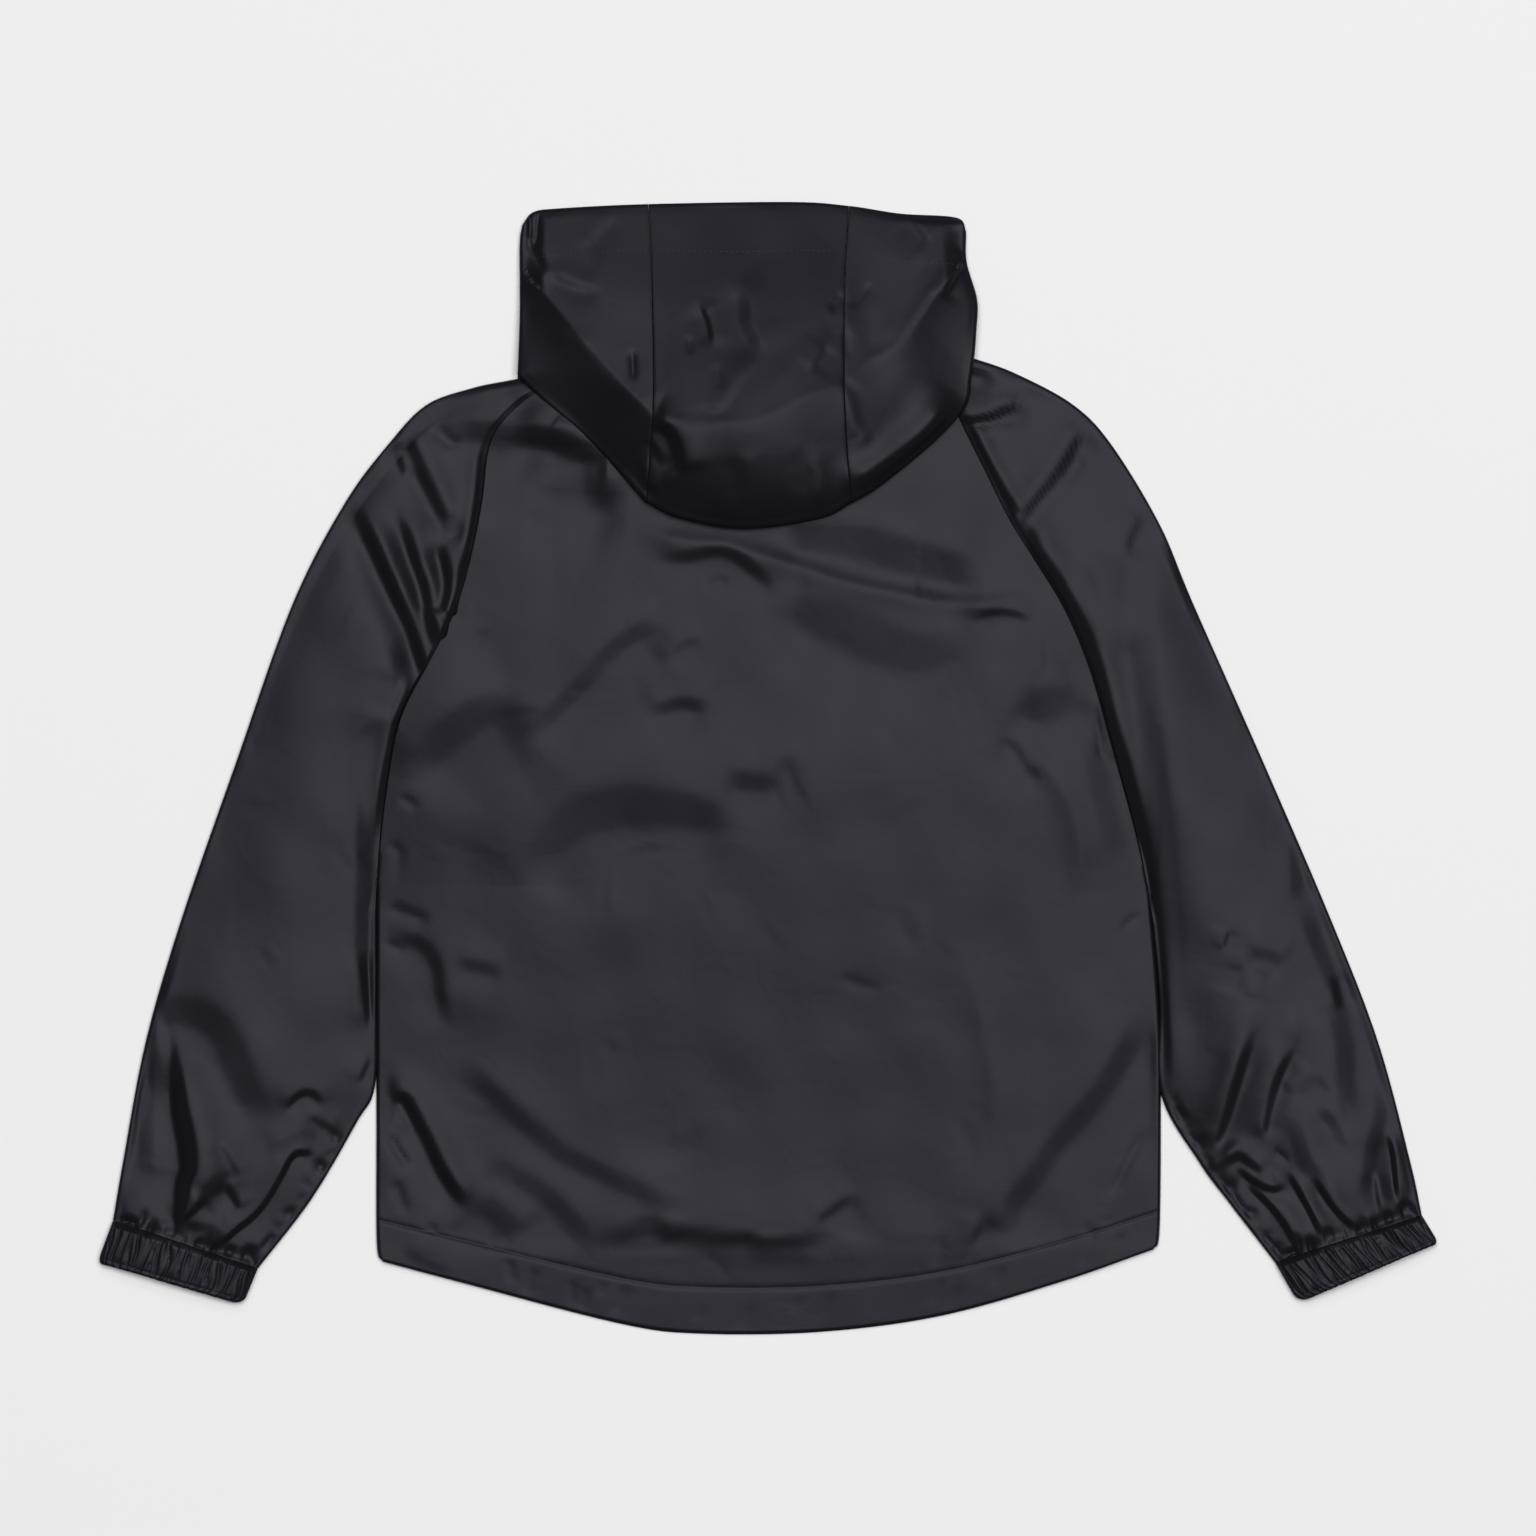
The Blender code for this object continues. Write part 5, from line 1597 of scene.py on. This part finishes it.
    def build_front(self, side: Side) -> Piece:
        """Builds a front, from the zip out to the side and raglan seams.

        Args:
            side: which one.

        Returns:
            The piece.
        """
        sign, sleeve, body_side = side.sign, self.sleeves[side], self.sides[side]
        along = np.linspace(0, 1, self.front_rows)
        across = np.linspace(0, 1, self.front_columns)
        split = body_side.length / (body_side.length + sleeve.raglan.length)
        shares = 1 - (along - split) / (1 - split) * (1 - SIZES.neck_share)
        outer = np.where((along < split)[:, None],
                         body_side.at(np.minimum(along / split, 1.0))
                         - [sign * self.front_inset, 0.0],
                         sleeve.seam(np.clip(shares, SIZES.neck_share, 0.995),
                                     -self.front_tuck))
        neck = Curve(FRONT_NECKS[side])
        outer[-1] = neck.at(0.0)
        outer[-6:-1] = between(outer[-7], outer[-1], np.linspace(0, 1, 7)[1:-1, None])
        high = neck.at(1 - across)
        low_x = between(sign * self.zip_half_gap, outer[0, 0], across)
        low = np.stack([low_x, between(self.front_hem(low_x), outer[0, 1], across)], axis=-1)
        plan = coons(low, high, between(low[0], high[0], along[:, None]), outer, across, along)
        wide, long = self.front_rims
        rim = np.minimum(np.minimum(across, 1 - across)[None] * wide,
                         np.minimum(along, 1 - along)[:, None] * long)
        lift = self.front_swelling * (1 + swell(plan, 1.0)) * eased(rim / self.front_margin)
        return ClothPiece(f"front_{side.value}_cloth", self.cloth, f"front_{side.value}",
                          flipped=side is Side.LEFT).build(
                              with_heights(plan, SIZES.wall / 2 + lift))


# ---------------------------------------------------------------- hood
def distances(plan: Array, line: Array, softness: float = 0.0025) -> tuple[Array, Array]:
    """Finds how far plan points lie from a line.

    Args:
        plan: plan points in rows and columns.
        line: the line's points.
        softness: how much farther places may lie and still count as near, in metres.

    Returns:
        The distances, and x of the line's places near them.
    """
    start, step = line[:-1], np.diff(line, axis=0)
    size = np.maximum((step * step).sum(-1), 1e-16)
    away, near_x = np.empty(plan.shape[:-1]), np.empty(plan.shape[:-1])
    for number, row in enumerate(plan):
        gap = row[:, None] - start[None]
        share = np.clip((gap * step).sum(-1) / size, 0, 1)
        length = np.linalg.norm(gap - share[..., None] * step, axis=-1)
        away[number] = length.min(axis=1)
        weight = np.exp((away[number][:, None] - length) / softness) * np.sqrt(size)
        near_x[number] = (weight * (start[:, 0] + share * step[:, 0])).sum(1) / weight.sum(1)
    return away, near_x


@dataclass(frozen=True)
class FoldHeights:
    """Heights round a folded edge: top layer, outermost line, layer below and its end."""

    edge: Array
    fold: Array
    below: Array
    end: Array


@dataclass
class Hood:
    """Two side panels and a centre panel, folded flat with the face edge at the top."""

    relief: Relief
    side_cloth: Material
    centre_cloth: Material
    stitching: Stitching
    depth: float = 0.172  # from the face edge to the fold over the back
    face_rise: float = 0.0024
    face_y: float = 0.323
    face_roll: float = 0.0045  # strip in which the cloth comes down to the face edge
    face_turn: float = 0.0010
    peak: float = 0.0350
    side_peak: float = 0.0066
    middle_x: float = -0.020
    peak_reaches: Pair = (0.130, 0.145)  # to the left and to the right
    fall_places: Floats = (-0.080, -0.040, 0.050, 0.085)  # x along the V ridge
    fall_powers: Floats = (1.05, 2.0, 2.3, 1.05)  # how rounded the cloth falls there
    climb_power: float = 1.15
    side_blend: float = 0.012
    corner_rises: Pair = (0.0045, 0.0108)
    side_fold_rises: Pair = (0.0025, 0.0086)
    edge_rise: float = 0.0200
    fold_rise: float = 0.0165
    below_rises: Pair = (0.0072, 0.0150)
    neck_rises: Pair = (0.0076, 0.0104)
    swelling: float = 0.0003
    seam_gap: float = 0.00014
    seam_dip: float = 0.0002
    dip_fade: float = 0.06  # share of the depth in which it ends
    casing: float = 0.0262
    face_steps: Floats = (0.0, 0.0005, 0.0012, 0.0022)  # fine rows at the face edge
    casing_steps: Floats = (-0.0012, -0.0005, 0.0, 0.0005, 0.0012)  # beside the stitches
    fold_steps: Floats = (0.0072, 0.0054, 0.0038, 0.0024, 0.0012, 0.0004, 0.0)
    casing_rows: int = 13
    side_margin: float = 0.010  # strip along the side folds that stays off the face edge
    least_roll: float = 0.3  # share of the roll's height that creases never cut away
    columns: int = 62
    centre_columns: int = 104
    open_rows: int = 78
    turn_steps: int = 6
    under_steps: int = 26

    def __post_init__(self) -> None:
        """Makes the plan's lines curves and spreads the panels' rows."""
        self.face, self.ridge = Curve(FACE_EDGE), Curve(HOOD_RIDGE)
        self.centre_fold, self.neck = Curve(CENTRE_FOLD), Curve(BACK_NECK)
        self.seams, self.side_folds, self.lower_folds = (
            {side: Curve(lines[side]) for side in Side}
            for lines in (HOOD_SEAMS, SIDE_FOLDS, LOWER_FOLDS))
        cased = np.concatenate([self.face_steps,
                                np.linspace(0.0036, self.casing - 0.0022, self.casing_rows),
                                self.casing + np.array(self.casing_steps)])
        bottom = self.depth - np.array(self.fold_steps)
        opened = np.linspace(self.casing + 0.0026, bottom[0], self.open_rows)[:-1]
        self.stitch_row = len(cased) - 3
        self.drops = np.concatenate([cased, opened, bottom]) / self.depth

    def side_heights(self, share: Array) -> FoldHeights:
        """Heights round the fold beside the face opening, from its corner to the shoulder."""
        flat = np.full(share.shape, SIZES.floor_layer)
        return FoldHeights(between(*self.corner_rises, share),
                           between(*self.side_fold_rises, share), flat, flat)

    def lower_heights(self, share: Array) -> FoldHeights:
        """Heights round the fold over the back.

        Args:
            share: shares of the way from a shoulder to the centre panel.

        Returns:
            The heights.
        """
        end = between(*self.neck_rises, eased(1.5 * share))
        share = share**2
        return FoldHeights(between(self.corner_rises[1], self.edge_rise, share),
                           between(self.side_fold_rises[1], self.fold_rise, share),
                           between(*self.below_rises, share), end)

    def peaks(self, x: Array) -> Array:
        """Heights of the V ridge, by x."""
        reach = np.where(x < self.middle_x, *self.peak_reaches)
        reach = np.minimum(np.abs(x - self.middle_x) / reach, 1.0)
        return between(self.side_peak, self.peak, 1 - reach**1.6)

    def crown(self, plan: Array, inside: Array, edge: Array) -> Array:
        """Heights of the upper layer between the face edge, the V ridge and the folded edges.

        Args:
            plan: plan points in rows and columns.
            inside: distances from the roll at the folded edge.
            edge: heights on top of the nearest folded edge.

        Returns:
            Heights in rows and columns.
        """
        x, y = plan[..., 0], plan[..., 1]
        ridge_y = np.interp(x, self.ridge.line[:, 0], self.ridge.line[:, 1])
        to_ridge, near_x = distances(plan, self.ridge.line)
        way = to_ridge / np.maximum(inside + to_ridge, 1e-6)
        fall = np.clip(way, 0, 1) ** np.interp(near_x, self.fall_places, self.fall_powers)
        below = between(self.peaks(near_x), edge, fall)
        climb = np.clip((self.face_y - y) / (self.face_y - ridge_y), 0, 1)
        above = between(self.face_rise, self.peaks(x), 1 - (1 - climb) ** self.climb_power)
        return np.where(y < ridge_y, below, between(edge, above, eased(inside / self.side_blend)))

    def boundary(self) -> Array:
        """The folded edge, from the left corner of the face to the right one.

        Returns:
            Its plan points.
        """
        share = np.linspace(0, 1, 60)
        left, right = ((self.side_folds[side].at(share), self.lower_folds[side].at(share))
                       for side in Side)
        return np.vstack([*left, self.centre_fold.at(share), right[1][::-1], right[0][::-1]])

    def round_fold(self, plan: Array) -> Array:
        """Heights round the nearest folded edge, changing softly from place to place.

        Args:
            plan: plan points in rows and columns.

        Returns:
            The heights on top of the fold and at its outermost line.
        """
        found = []
        for side in Side:
            corner, shoulder = self.side_folds[side].line[[0, -1]]
            along = self.lower_folds[side].at(1.0) - shoulder
            down = np.clip(((plan - shoulder) @ along) / (along @ along), 0, 1)
            aside = np.clip((plan[..., 1] - corner[1]) / (shoulder[1] - corner[1]), 0, 1)
            low, high = self.lower_heights(down), self.side_heights(aside)
            found.append((low.edge - self.corner_rises[1] + high.edge,
                          low.fold - self.side_fold_rises[1] + high.fold))
        return np.where(plan[..., 0] < self.middle_x, *found)

    def tops(self, plan: Array) -> Array:
        """Heights of the upper layer, rolled down at the folded edges.

        Args:
            plan: plan points in rows and columns.

        Returns:
            Heights in rows and columns.
        """
        away, _ = distances(plan, self.boundary())
        edge, fold = self.round_fold(plan)
        roll = edge - fold
        inside = np.maximum(away - roll, 0.0)
        creased = self.relief.heights(plan) + swell(plan, self.swelling)
        top = self.crown(plan, inside, edge) + creased * eased(away / SIZES.crease_margin)
        least = (fold + self.least_roll * roll) * (1 - eased(inside / SIZES.crease_margin))
        rolled = between(fold, np.maximum(top, least),
                         np.sqrt(1 - (1 - np.minimum(away / roll, 1.0)) ** 2))
        face_y = np.interp(plan[..., 0], self.face.line[:, 0], self.face.line[:, 1])
        at_face = eased(1 - (face_y - plan[..., 1]) / self.face_roll)
        return between(rolled, self.face_rise, at_face * eased(away / self.side_margin))

    def dipped_tops(self, plan: Array, *seams: Array) -> Array:
        """Heights of a panel, dipped beside the seams that join it to others.

        Args:
            plan: its plan points in rows and columns.
            seams: plan points of the seams, one for each row.

        Returns:
            Heights in rows and columns.
        """
        heights = self.tops(plan)
        for seam in seams:
            away = np.linalg.norm(plan - seam[:, None], axis=-1)
            heights -= (self.seam_dip * beside(away, SIZES.dip_width)
                        * eased((1 - self.drops) / self.dip_fade)[:, None])
        return heights

    def face_turned(self, plan: Array, heights: Array) -> Array:
        """Points of a panel, turned down at the face edge."""
        turn = self.face_turn * beside(self.drops * self.depth, SIZES.dip_width)
        return with_heights(plan, heights - turn[:, None])

    def under_line(self, fold: Array, end: Array, heights: FoldHeights,
                   bend: Callable[[Array], Array] = np.zeros_like) -> Array:
        """The layer under the folded edge.

        Args:
            fold: points of the fold, one for each line.
            end: plan points at which the layer ends.
            heights: heights round the fold at each of them.
            bend: gives how far a step's points are moved in plan, from their shares of the way.

        Returns:
            Points, one row for each step from the fold to the layer's end.
        """
        start = fold[:, :2]
        roll = np.minimum((heights.fold - heights.below) / np.linalg.norm(end - start, axis=1),
                          0.45)
        rows = []
        for turn in np.linspace(0, math.pi / 2, self.turn_steps + 1):
            plan = between(start, end, (roll * (1 - math.cos(turn)))[:, None])
            rows.append(with_heights(plan, between(heights.fold, heights.below, math.sin(turn))))
        for share in np.linspace(0, 1, self.under_steps + 1)[1:]:
            way = (roll + (1 - roll) * share)[:, None]
            plan = between(start, end, way) + bend(way)
            rows.append(with_heights(plan, between(heights.below, heights.end, share)))
        return np.array([fold, *rows[1:]])

    def build_side(self, side: Side) -> Piece:
        """Builds a side panel: its crown, its flap beside the face and its neck end.

        Args:
            side: which one.

        Returns:
            The piece.
        """
        sign, seam, side_fold = side.sign, self.seams[side], self.side_folds[side]
        wide = abs(FACE_CORNERS[side][0] * MM - seam.at(0.0)[0])
        columns = graded(EDGE_STEPS, self.columns, wide - FOLD_STEPS[::-1]) / wide
        corner = Curve((FACE_CORNERS[side],
                        *(FACE_EDGE if side is Side.LEFT else FACE_EDGE[::-1])), 40)
        seam_share = float(np.interp(-sign * seam.at(0.0)[0], -sign * corner.line[:, 0],
                                     corner.fractions))
        low = corner.at(seam_share * (1 - columns))
        low[0] = seam.at(0.0)
        shares = np.interp(self.drops * self.depth, (0, self.casing, self.depth),
                           (0, self.casing / side_fold.length, 1))
        gap = np.array([sign * self.seam_gap, 0.0])
        gaps = gap * (1 - columns)[:, None]
        first = seam.at(self.drops) + gap
        plan = coons(low + gaps, self.lower_folds[side].at(1 - columns) + gaps, first,
                     side_fold.at(shares), columns, self.drops)
        below, aside = self.lower_heights(1 - columns), self.side_heights(shares)
        heights = self.dipped_tops(plan, first)
        heights[-1], heights[:, -1] = below.fold, aside.fold
        grid = self.face_turned(plan, heights)
        neck = self.under_line(grid[-1], Curve(SHOULDER_SEAMS[side]).at(1 - columns) + gaps, below)
        name = f"hood_{side.value}"
        made = ClothPiece(f"{name}_cloth", self.side_cloth, name,
                          flipped=side is Side.RIGHT).build(
                              grid, self.flap(side, grid[:, -1], shares, aside), neck)
        self.stitching.row(f"{name}_casing_stitches", grid, self.stitch_row, slice(-8))
        return made

    def flap(self, side: Side, fold: Array, shares: Array, heights: FoldHeights) -> Array:
        """The layer beside the face opening, flat on the surface.

        Args:
            side: which panel it belongs to.
            fold: points of the panel's fold.
            shares: their shares of the fold's length.
            heights: heights round the fold at them.

        Returns:
            Points, one row for each step from the fold to the opening's edge.
        """
        zip_x = side.sign * 5.5
        opening = np.array([OPENING_CORNERS[side], (zip_x, 200), (zip_x, 156)]) * MM
        edge = along_line(shares, np.array([0, 0.8, 1]), opening)
        neck = Curve(FRONT_NECKS[side])

        def bend(way: Array) -> Array:
            """How far the points of a step are moved, so that the last line is the neck's."""
            place = np.clip(way, 0, 1)
            return (shares**3)[:, None] * (neck.at(place[:, 0])
                                           - between(neck.at(0.0), neck.at(1.0), place))

        return self.under_line(fold, edge, heights, bend)

    def build_centre(self) -> Piece:
        """Builds the centre panel, from the face edge over the crown to the back's neck.

        Returns:
            The piece.
        """
        left, right = self.seams.values()
        gap = np.array([self.seam_gap, 0.0])
        near = EDGE_STEPS / (right.at(0.0)[0] - left.at(0.0)[0])
        columns = graded(near, self.centre_columns, 1 - near[::-1])
        gaps = between(gap, -gap, columns[:, None])
        first, last = left.at(self.drops) + gap, right.at(self.drops) - gap
        ends = [self.face.share_at(seam.at(0.0)[0]) for seam in (left, right)]
        low = self.face.at(between(*ends, columns)) + gaps
        low[0], low[-1] = first[0], last[0]
        plan = coons(low, self.centre_fold.at(columns) + gaps, first, last, columns, self.drops)
        heights = self.dipped_tops(plan, first, last)
        below = self.lower_heights(np.ones(len(columns)))
        heights[-1] = below.fold
        grid = self.face_turned(plan, heights)
        ends = [self.neck.share_at(SHOULDER_SEAMS[side][-1][0] * MM) for side in Side]
        under = self.under_line(grid[-1], self.neck.at(between(*ends, columns)) + gaps, below)
        made = ClothPiece("hood_centre_cloth", self.centre_cloth, "hood_centre").build(grid, under)
        self.stitching.row("hood_centre_casing_stitches", grid, self.stitch_row)
        return made


# ---------------------------------------------------------------- zip
@dataclass
class Zip:
    """The closed zip inside the fronts: two woven tapes and a chain of teeth."""

    start_y: float
    end_y: float
    tape_cloth: Material
    teeth_finish: Material
    half_gap: float = 0.0055
    tape_places: Floats = (0.0032, 0.0036, 0.0042, 0.0050, 0.0055, 0.0068, 0.0090,
                           0.0115, 0.0132, 0.0140)
    tape_rows: int = 160
    tape_wall: float = 0.0006
    tape_low: float = 0.0021
    tape_ripple: float = 0.00008
    ripple_rates: Pair = (260.0, 40.0)  # along the tape and across it
    ripple_start: Pair = (0.005, 0.004)  # where it begins beside the chain, and grows in
    chain_half: float = 0.0029
    chain_low: float = 0.0019
    chain_high: float = 0.0034
    chain_margin: float = 0.003
    chain_rest: float = 0.004  # of the zip's length that has no teeth
    tooth_foot: float = 0.0005  # part of a tooth that lies on its tape
    tooth_shift: float = 0.0003  # from the middle of a side of the chain to the tooth's middle
    tooth_softness: float = 0.00012
    pitch: float = 0.0024

    def model_tooth(self) -> tuple[Array, list[list[int]]]:
        """A tooth on the right tape: a block with a waist and a rounded head.

        Returns:
            Its points, with its foot at the right, and its faces.
        """
        long = self.chain_half + self.tooth_foot

        def narrow(corner: Vector) -> None:
            """Draws in the waist and lowers the foot's end.

            Args:
                corner: the place of a corner.
            """
            place = corner.x / long
            waist = 0.62 if -0.3 < place < 0.0 else 1.0
            corner.y *= waist if place < 0.3 else 0.85
            corner.z *= 0.80 if place < -0.3 else 1.0

        bpy.ops.object.select_all(action="DESELECT")
        bpy.ops.mesh.primitive_cube_add(size=1.0, location=(0.0, 0.0, 0.0))
        tooth = bpy.context.active_object
        tooth.scale = (long, self.pitch * 0.60, self.chain_high - self.chain_low)
        shape_rod(tooth, long, narrow)
        apply_modifier(tooth, "BEVEL", width=self.tooth_softness, segments=1,
                       limit_method="NONE")
        return taken_apart(tooth)

    def build_teeth(self) -> Piece:
        """Builds the chain, one tooth copied along both tapes.

        Returns:
            The piece.
        """
        toothed = self.end_y - self.start_y - self.chain_rest
        number = np.arange(2 * int(toothed / self.pitch))
        side = np.where(number % 2, 1.0, -1.0)
        middle = (self.chain_low + self.chain_high) / 2
        at = np.stack([side * (self.chain_half / 2 - self.tooth_shift),
                       self.start_y + self.chain_margin + number * self.pitch / 2,
                       np.full(len(number), middle)], axis=-1)
        turns = np.eye(3) * np.stack([side, side, np.ones(len(number))], axis=-1)[:, None]
        made = copies("zip_teeth", self.model_tooth(), turns, at, self.teeth_finish)
        made.data.set_sharp_from_angle(angle=math.radians(35))
        declare(made, "zip_tape", "zip")
        return made

    def build_tape(self, side: Side) -> Piece:
        """Builds a tape, raised beside the chain.

        Args:
            side: which one.

        Returns:
            The piece.
        """
        x = np.array(self.tape_places)[None]
        y = np.linspace(self.start_y, self.end_y, self.tape_rows)[:, None]
        plan = np.stack(np.broadcast_arrays(side.sign * x, y), axis=-1)
        raised = (self.chain_low + self.chain_high) / 2
        (along, across), (start, growth) = self.ripple_rates, self.ripple_start
        heights = (np.interp(x, (self.chain_half, self.half_gap),
                             (raised, self.tape_low + self.tape_wall / 2))
                   + self.tape_ripple * np.sin(y * along + across * x)
                   * eased((x - start) / growth))
        return ClothPiece(f"zip_tape_{side.value}", self.tape_cloth, "zip", "zip_tape",
                          self.tape_wall, flipped=side is Side.LEFT).build(
                              with_heights(plan, heights))


# ---------------------------------------------------------------- studio
@dataclass
class Studio:
    """A pale floor, soft light from above and the camera over the jacket."""

    view_width: float = 0.8832
    lens: float = 400.0
    sensor: float = 36.0
    floor_size: float = 14.0
    floor_level: float = -0.0003
    floor_colour: Triple = (0.67, 0.67, 0.67)
    world_strength: float = 0.06
    top_power: float = 1480.0
    top_size: Pair = (9.0, 6.0)
    top_place: Triple = (0.8, 1.4, 10.6)
    slant_power: float = 160.0
    slant_size: Pair = (8.0, 3.4)
    slant_place: Triple = (0.0, 6.6, 7.8)

    def build_floor(self) -> None:
        """Builds the floor."""
        bpy.ops.object.select_all(action="DESELECT")
        bpy.ops.mesh.primitive_plane_add(size=self.floor_size,
                                         location=(0.0, 0.0, self.floor_level))
        floor = bpy.context.active_object
        floor.name = "studio_floor"
        look = Look("studio_floor_look")
        look.tone(look.texture("Noise", Scale=1.3, Detail=2.0),
                  scaled(self.floor_colour, 0.995), self.floor_colour)
        look.fill(look.shader, Roughness=0.95, Specular_IOR_Level=0.0)
        floor.data.materials.append(look.made)

    def add_light(self, name: str, place: Triple, size: Pair, power: float) -> None:
        """Adds a soft area light.

        Args:
            name: the light's name.
            place: where it hangs. It is turned towards the jacket.
            size: its width and height.
            power: its power in watts.
        """
        light = bpy.data.lights.new(name, "AREA")
        light.shape, light.size, light.size_y = "RECTANGLE", *size
        light.energy = power
        made = bpy.data.objects.new(name, light)
        made.location = place
        made.rotation_euler = (-Vector(place)).to_track_quat("-Z", "Y").to_euler()
        bpy.context.scene.collection.objects.link(made)

    def build(self) -> None:
        """Builds the floor, the lights, the pale surroundings and the camera."""
        scene = bpy.context.scene
        self.build_floor()
        self.add_light("overhead_softbox", self.top_place, self.top_size, self.top_power)
        self.add_light("slanting_softbox", self.slant_place, self.slant_size, self.slant_power)
        world = bpy.data.worlds.new("studio_air")
        world.use_nodes = True
        air = world.node_tree.nodes["Background"]
        air.inputs["Color"].default_value = (1.0, 1.0, 1.0, 1.0)
        air.inputs["Strength"].default_value = self.world_strength
        scene.world = world
        scene.view_settings.view_transform = "Standard"
        scene.view_settings.look = "None"
        camera = bpy.data.cameras.new("studio_camera")
        camera.sensor_width, camera.lens = self.sensor, self.lens
        camera.dof.use_dof = False
        made = bpy.data.objects.new("studio_camera", camera)
        made.location = (0.0, 0.0, self.view_width * self.lens / self.sensor)
        scene.collection.objects.link(made)
        scene.camera = made


def dress_carried(material: Material) -> None:
    """Gives the zip's slider and pull, which are the CAD's own, their finish.

    Args:
        material: their finish.
    """
    for node in ("zip_slider", "zip_pull"):
        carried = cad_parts[node]
        for place in range(max(1, len(carried.material_slots))):
            if not carried.material_slots:
                carried.data.materials.append(material)
            carried.material_slots[place].material = material
        LOG.info("%s: carried over", node)


def main() -> None:
    """Builds the jacket's pieces in order and reports each."""
    logging.basicConfig(level=logging.INFO, format="%(message)s")
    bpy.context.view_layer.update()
    made = {name: finish.material() for name, finish in FINISHES.items()}
    shell, stitching = made["shell"], Stitching(made["thread"])
    shared = SHARED_CREASES + faint_creases(31, 46, (-330, -250), (330, 120), 0.07)
    back_relief = Relief(shared + BACK_CREASES + puckers(5, HEM_STITCHES, 11.0, 10.0, FIRM))
    sleeve_relief = Relief(shared + SLEEVE_CREASES + cuff_puckers())
    hood_relief = Relief(HOOD_CREASES + faint_creases(47, 10, (-120, 170), (100, 290), 0.08))

    sleeves = {side: Sleeve(side, sleeve_relief, shell, stitching) for side in Side}
    body = Body(sleeves, back_relief, shell, stitching)
    pieces = [body.build_back()]
    for side, sleeve in sleeves.items():
        pieces += [body.build_front(side), sleeve.build(), sleeve.build_cuff()]
    hood = Hood(hood_relief, shell, made["hood_centre_painted_shade"], stitching)
    pieces += [hood.build_centre(), *map(hood.build_side, Side)]
    low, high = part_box("zip")
    closure = Zip(low[1], high[1], made["tape"], made["teeth"])
    pieces += [closure.build_teeth(), *map(closure.build_tape, Side)]
    for piece in pieces:
        LOG.info("%s: %d faces", piece.name, len(piece.data.polygons))
    dress_carried(made["metal"])

    Studio().build()


if __name__ == "__main__":
    main()
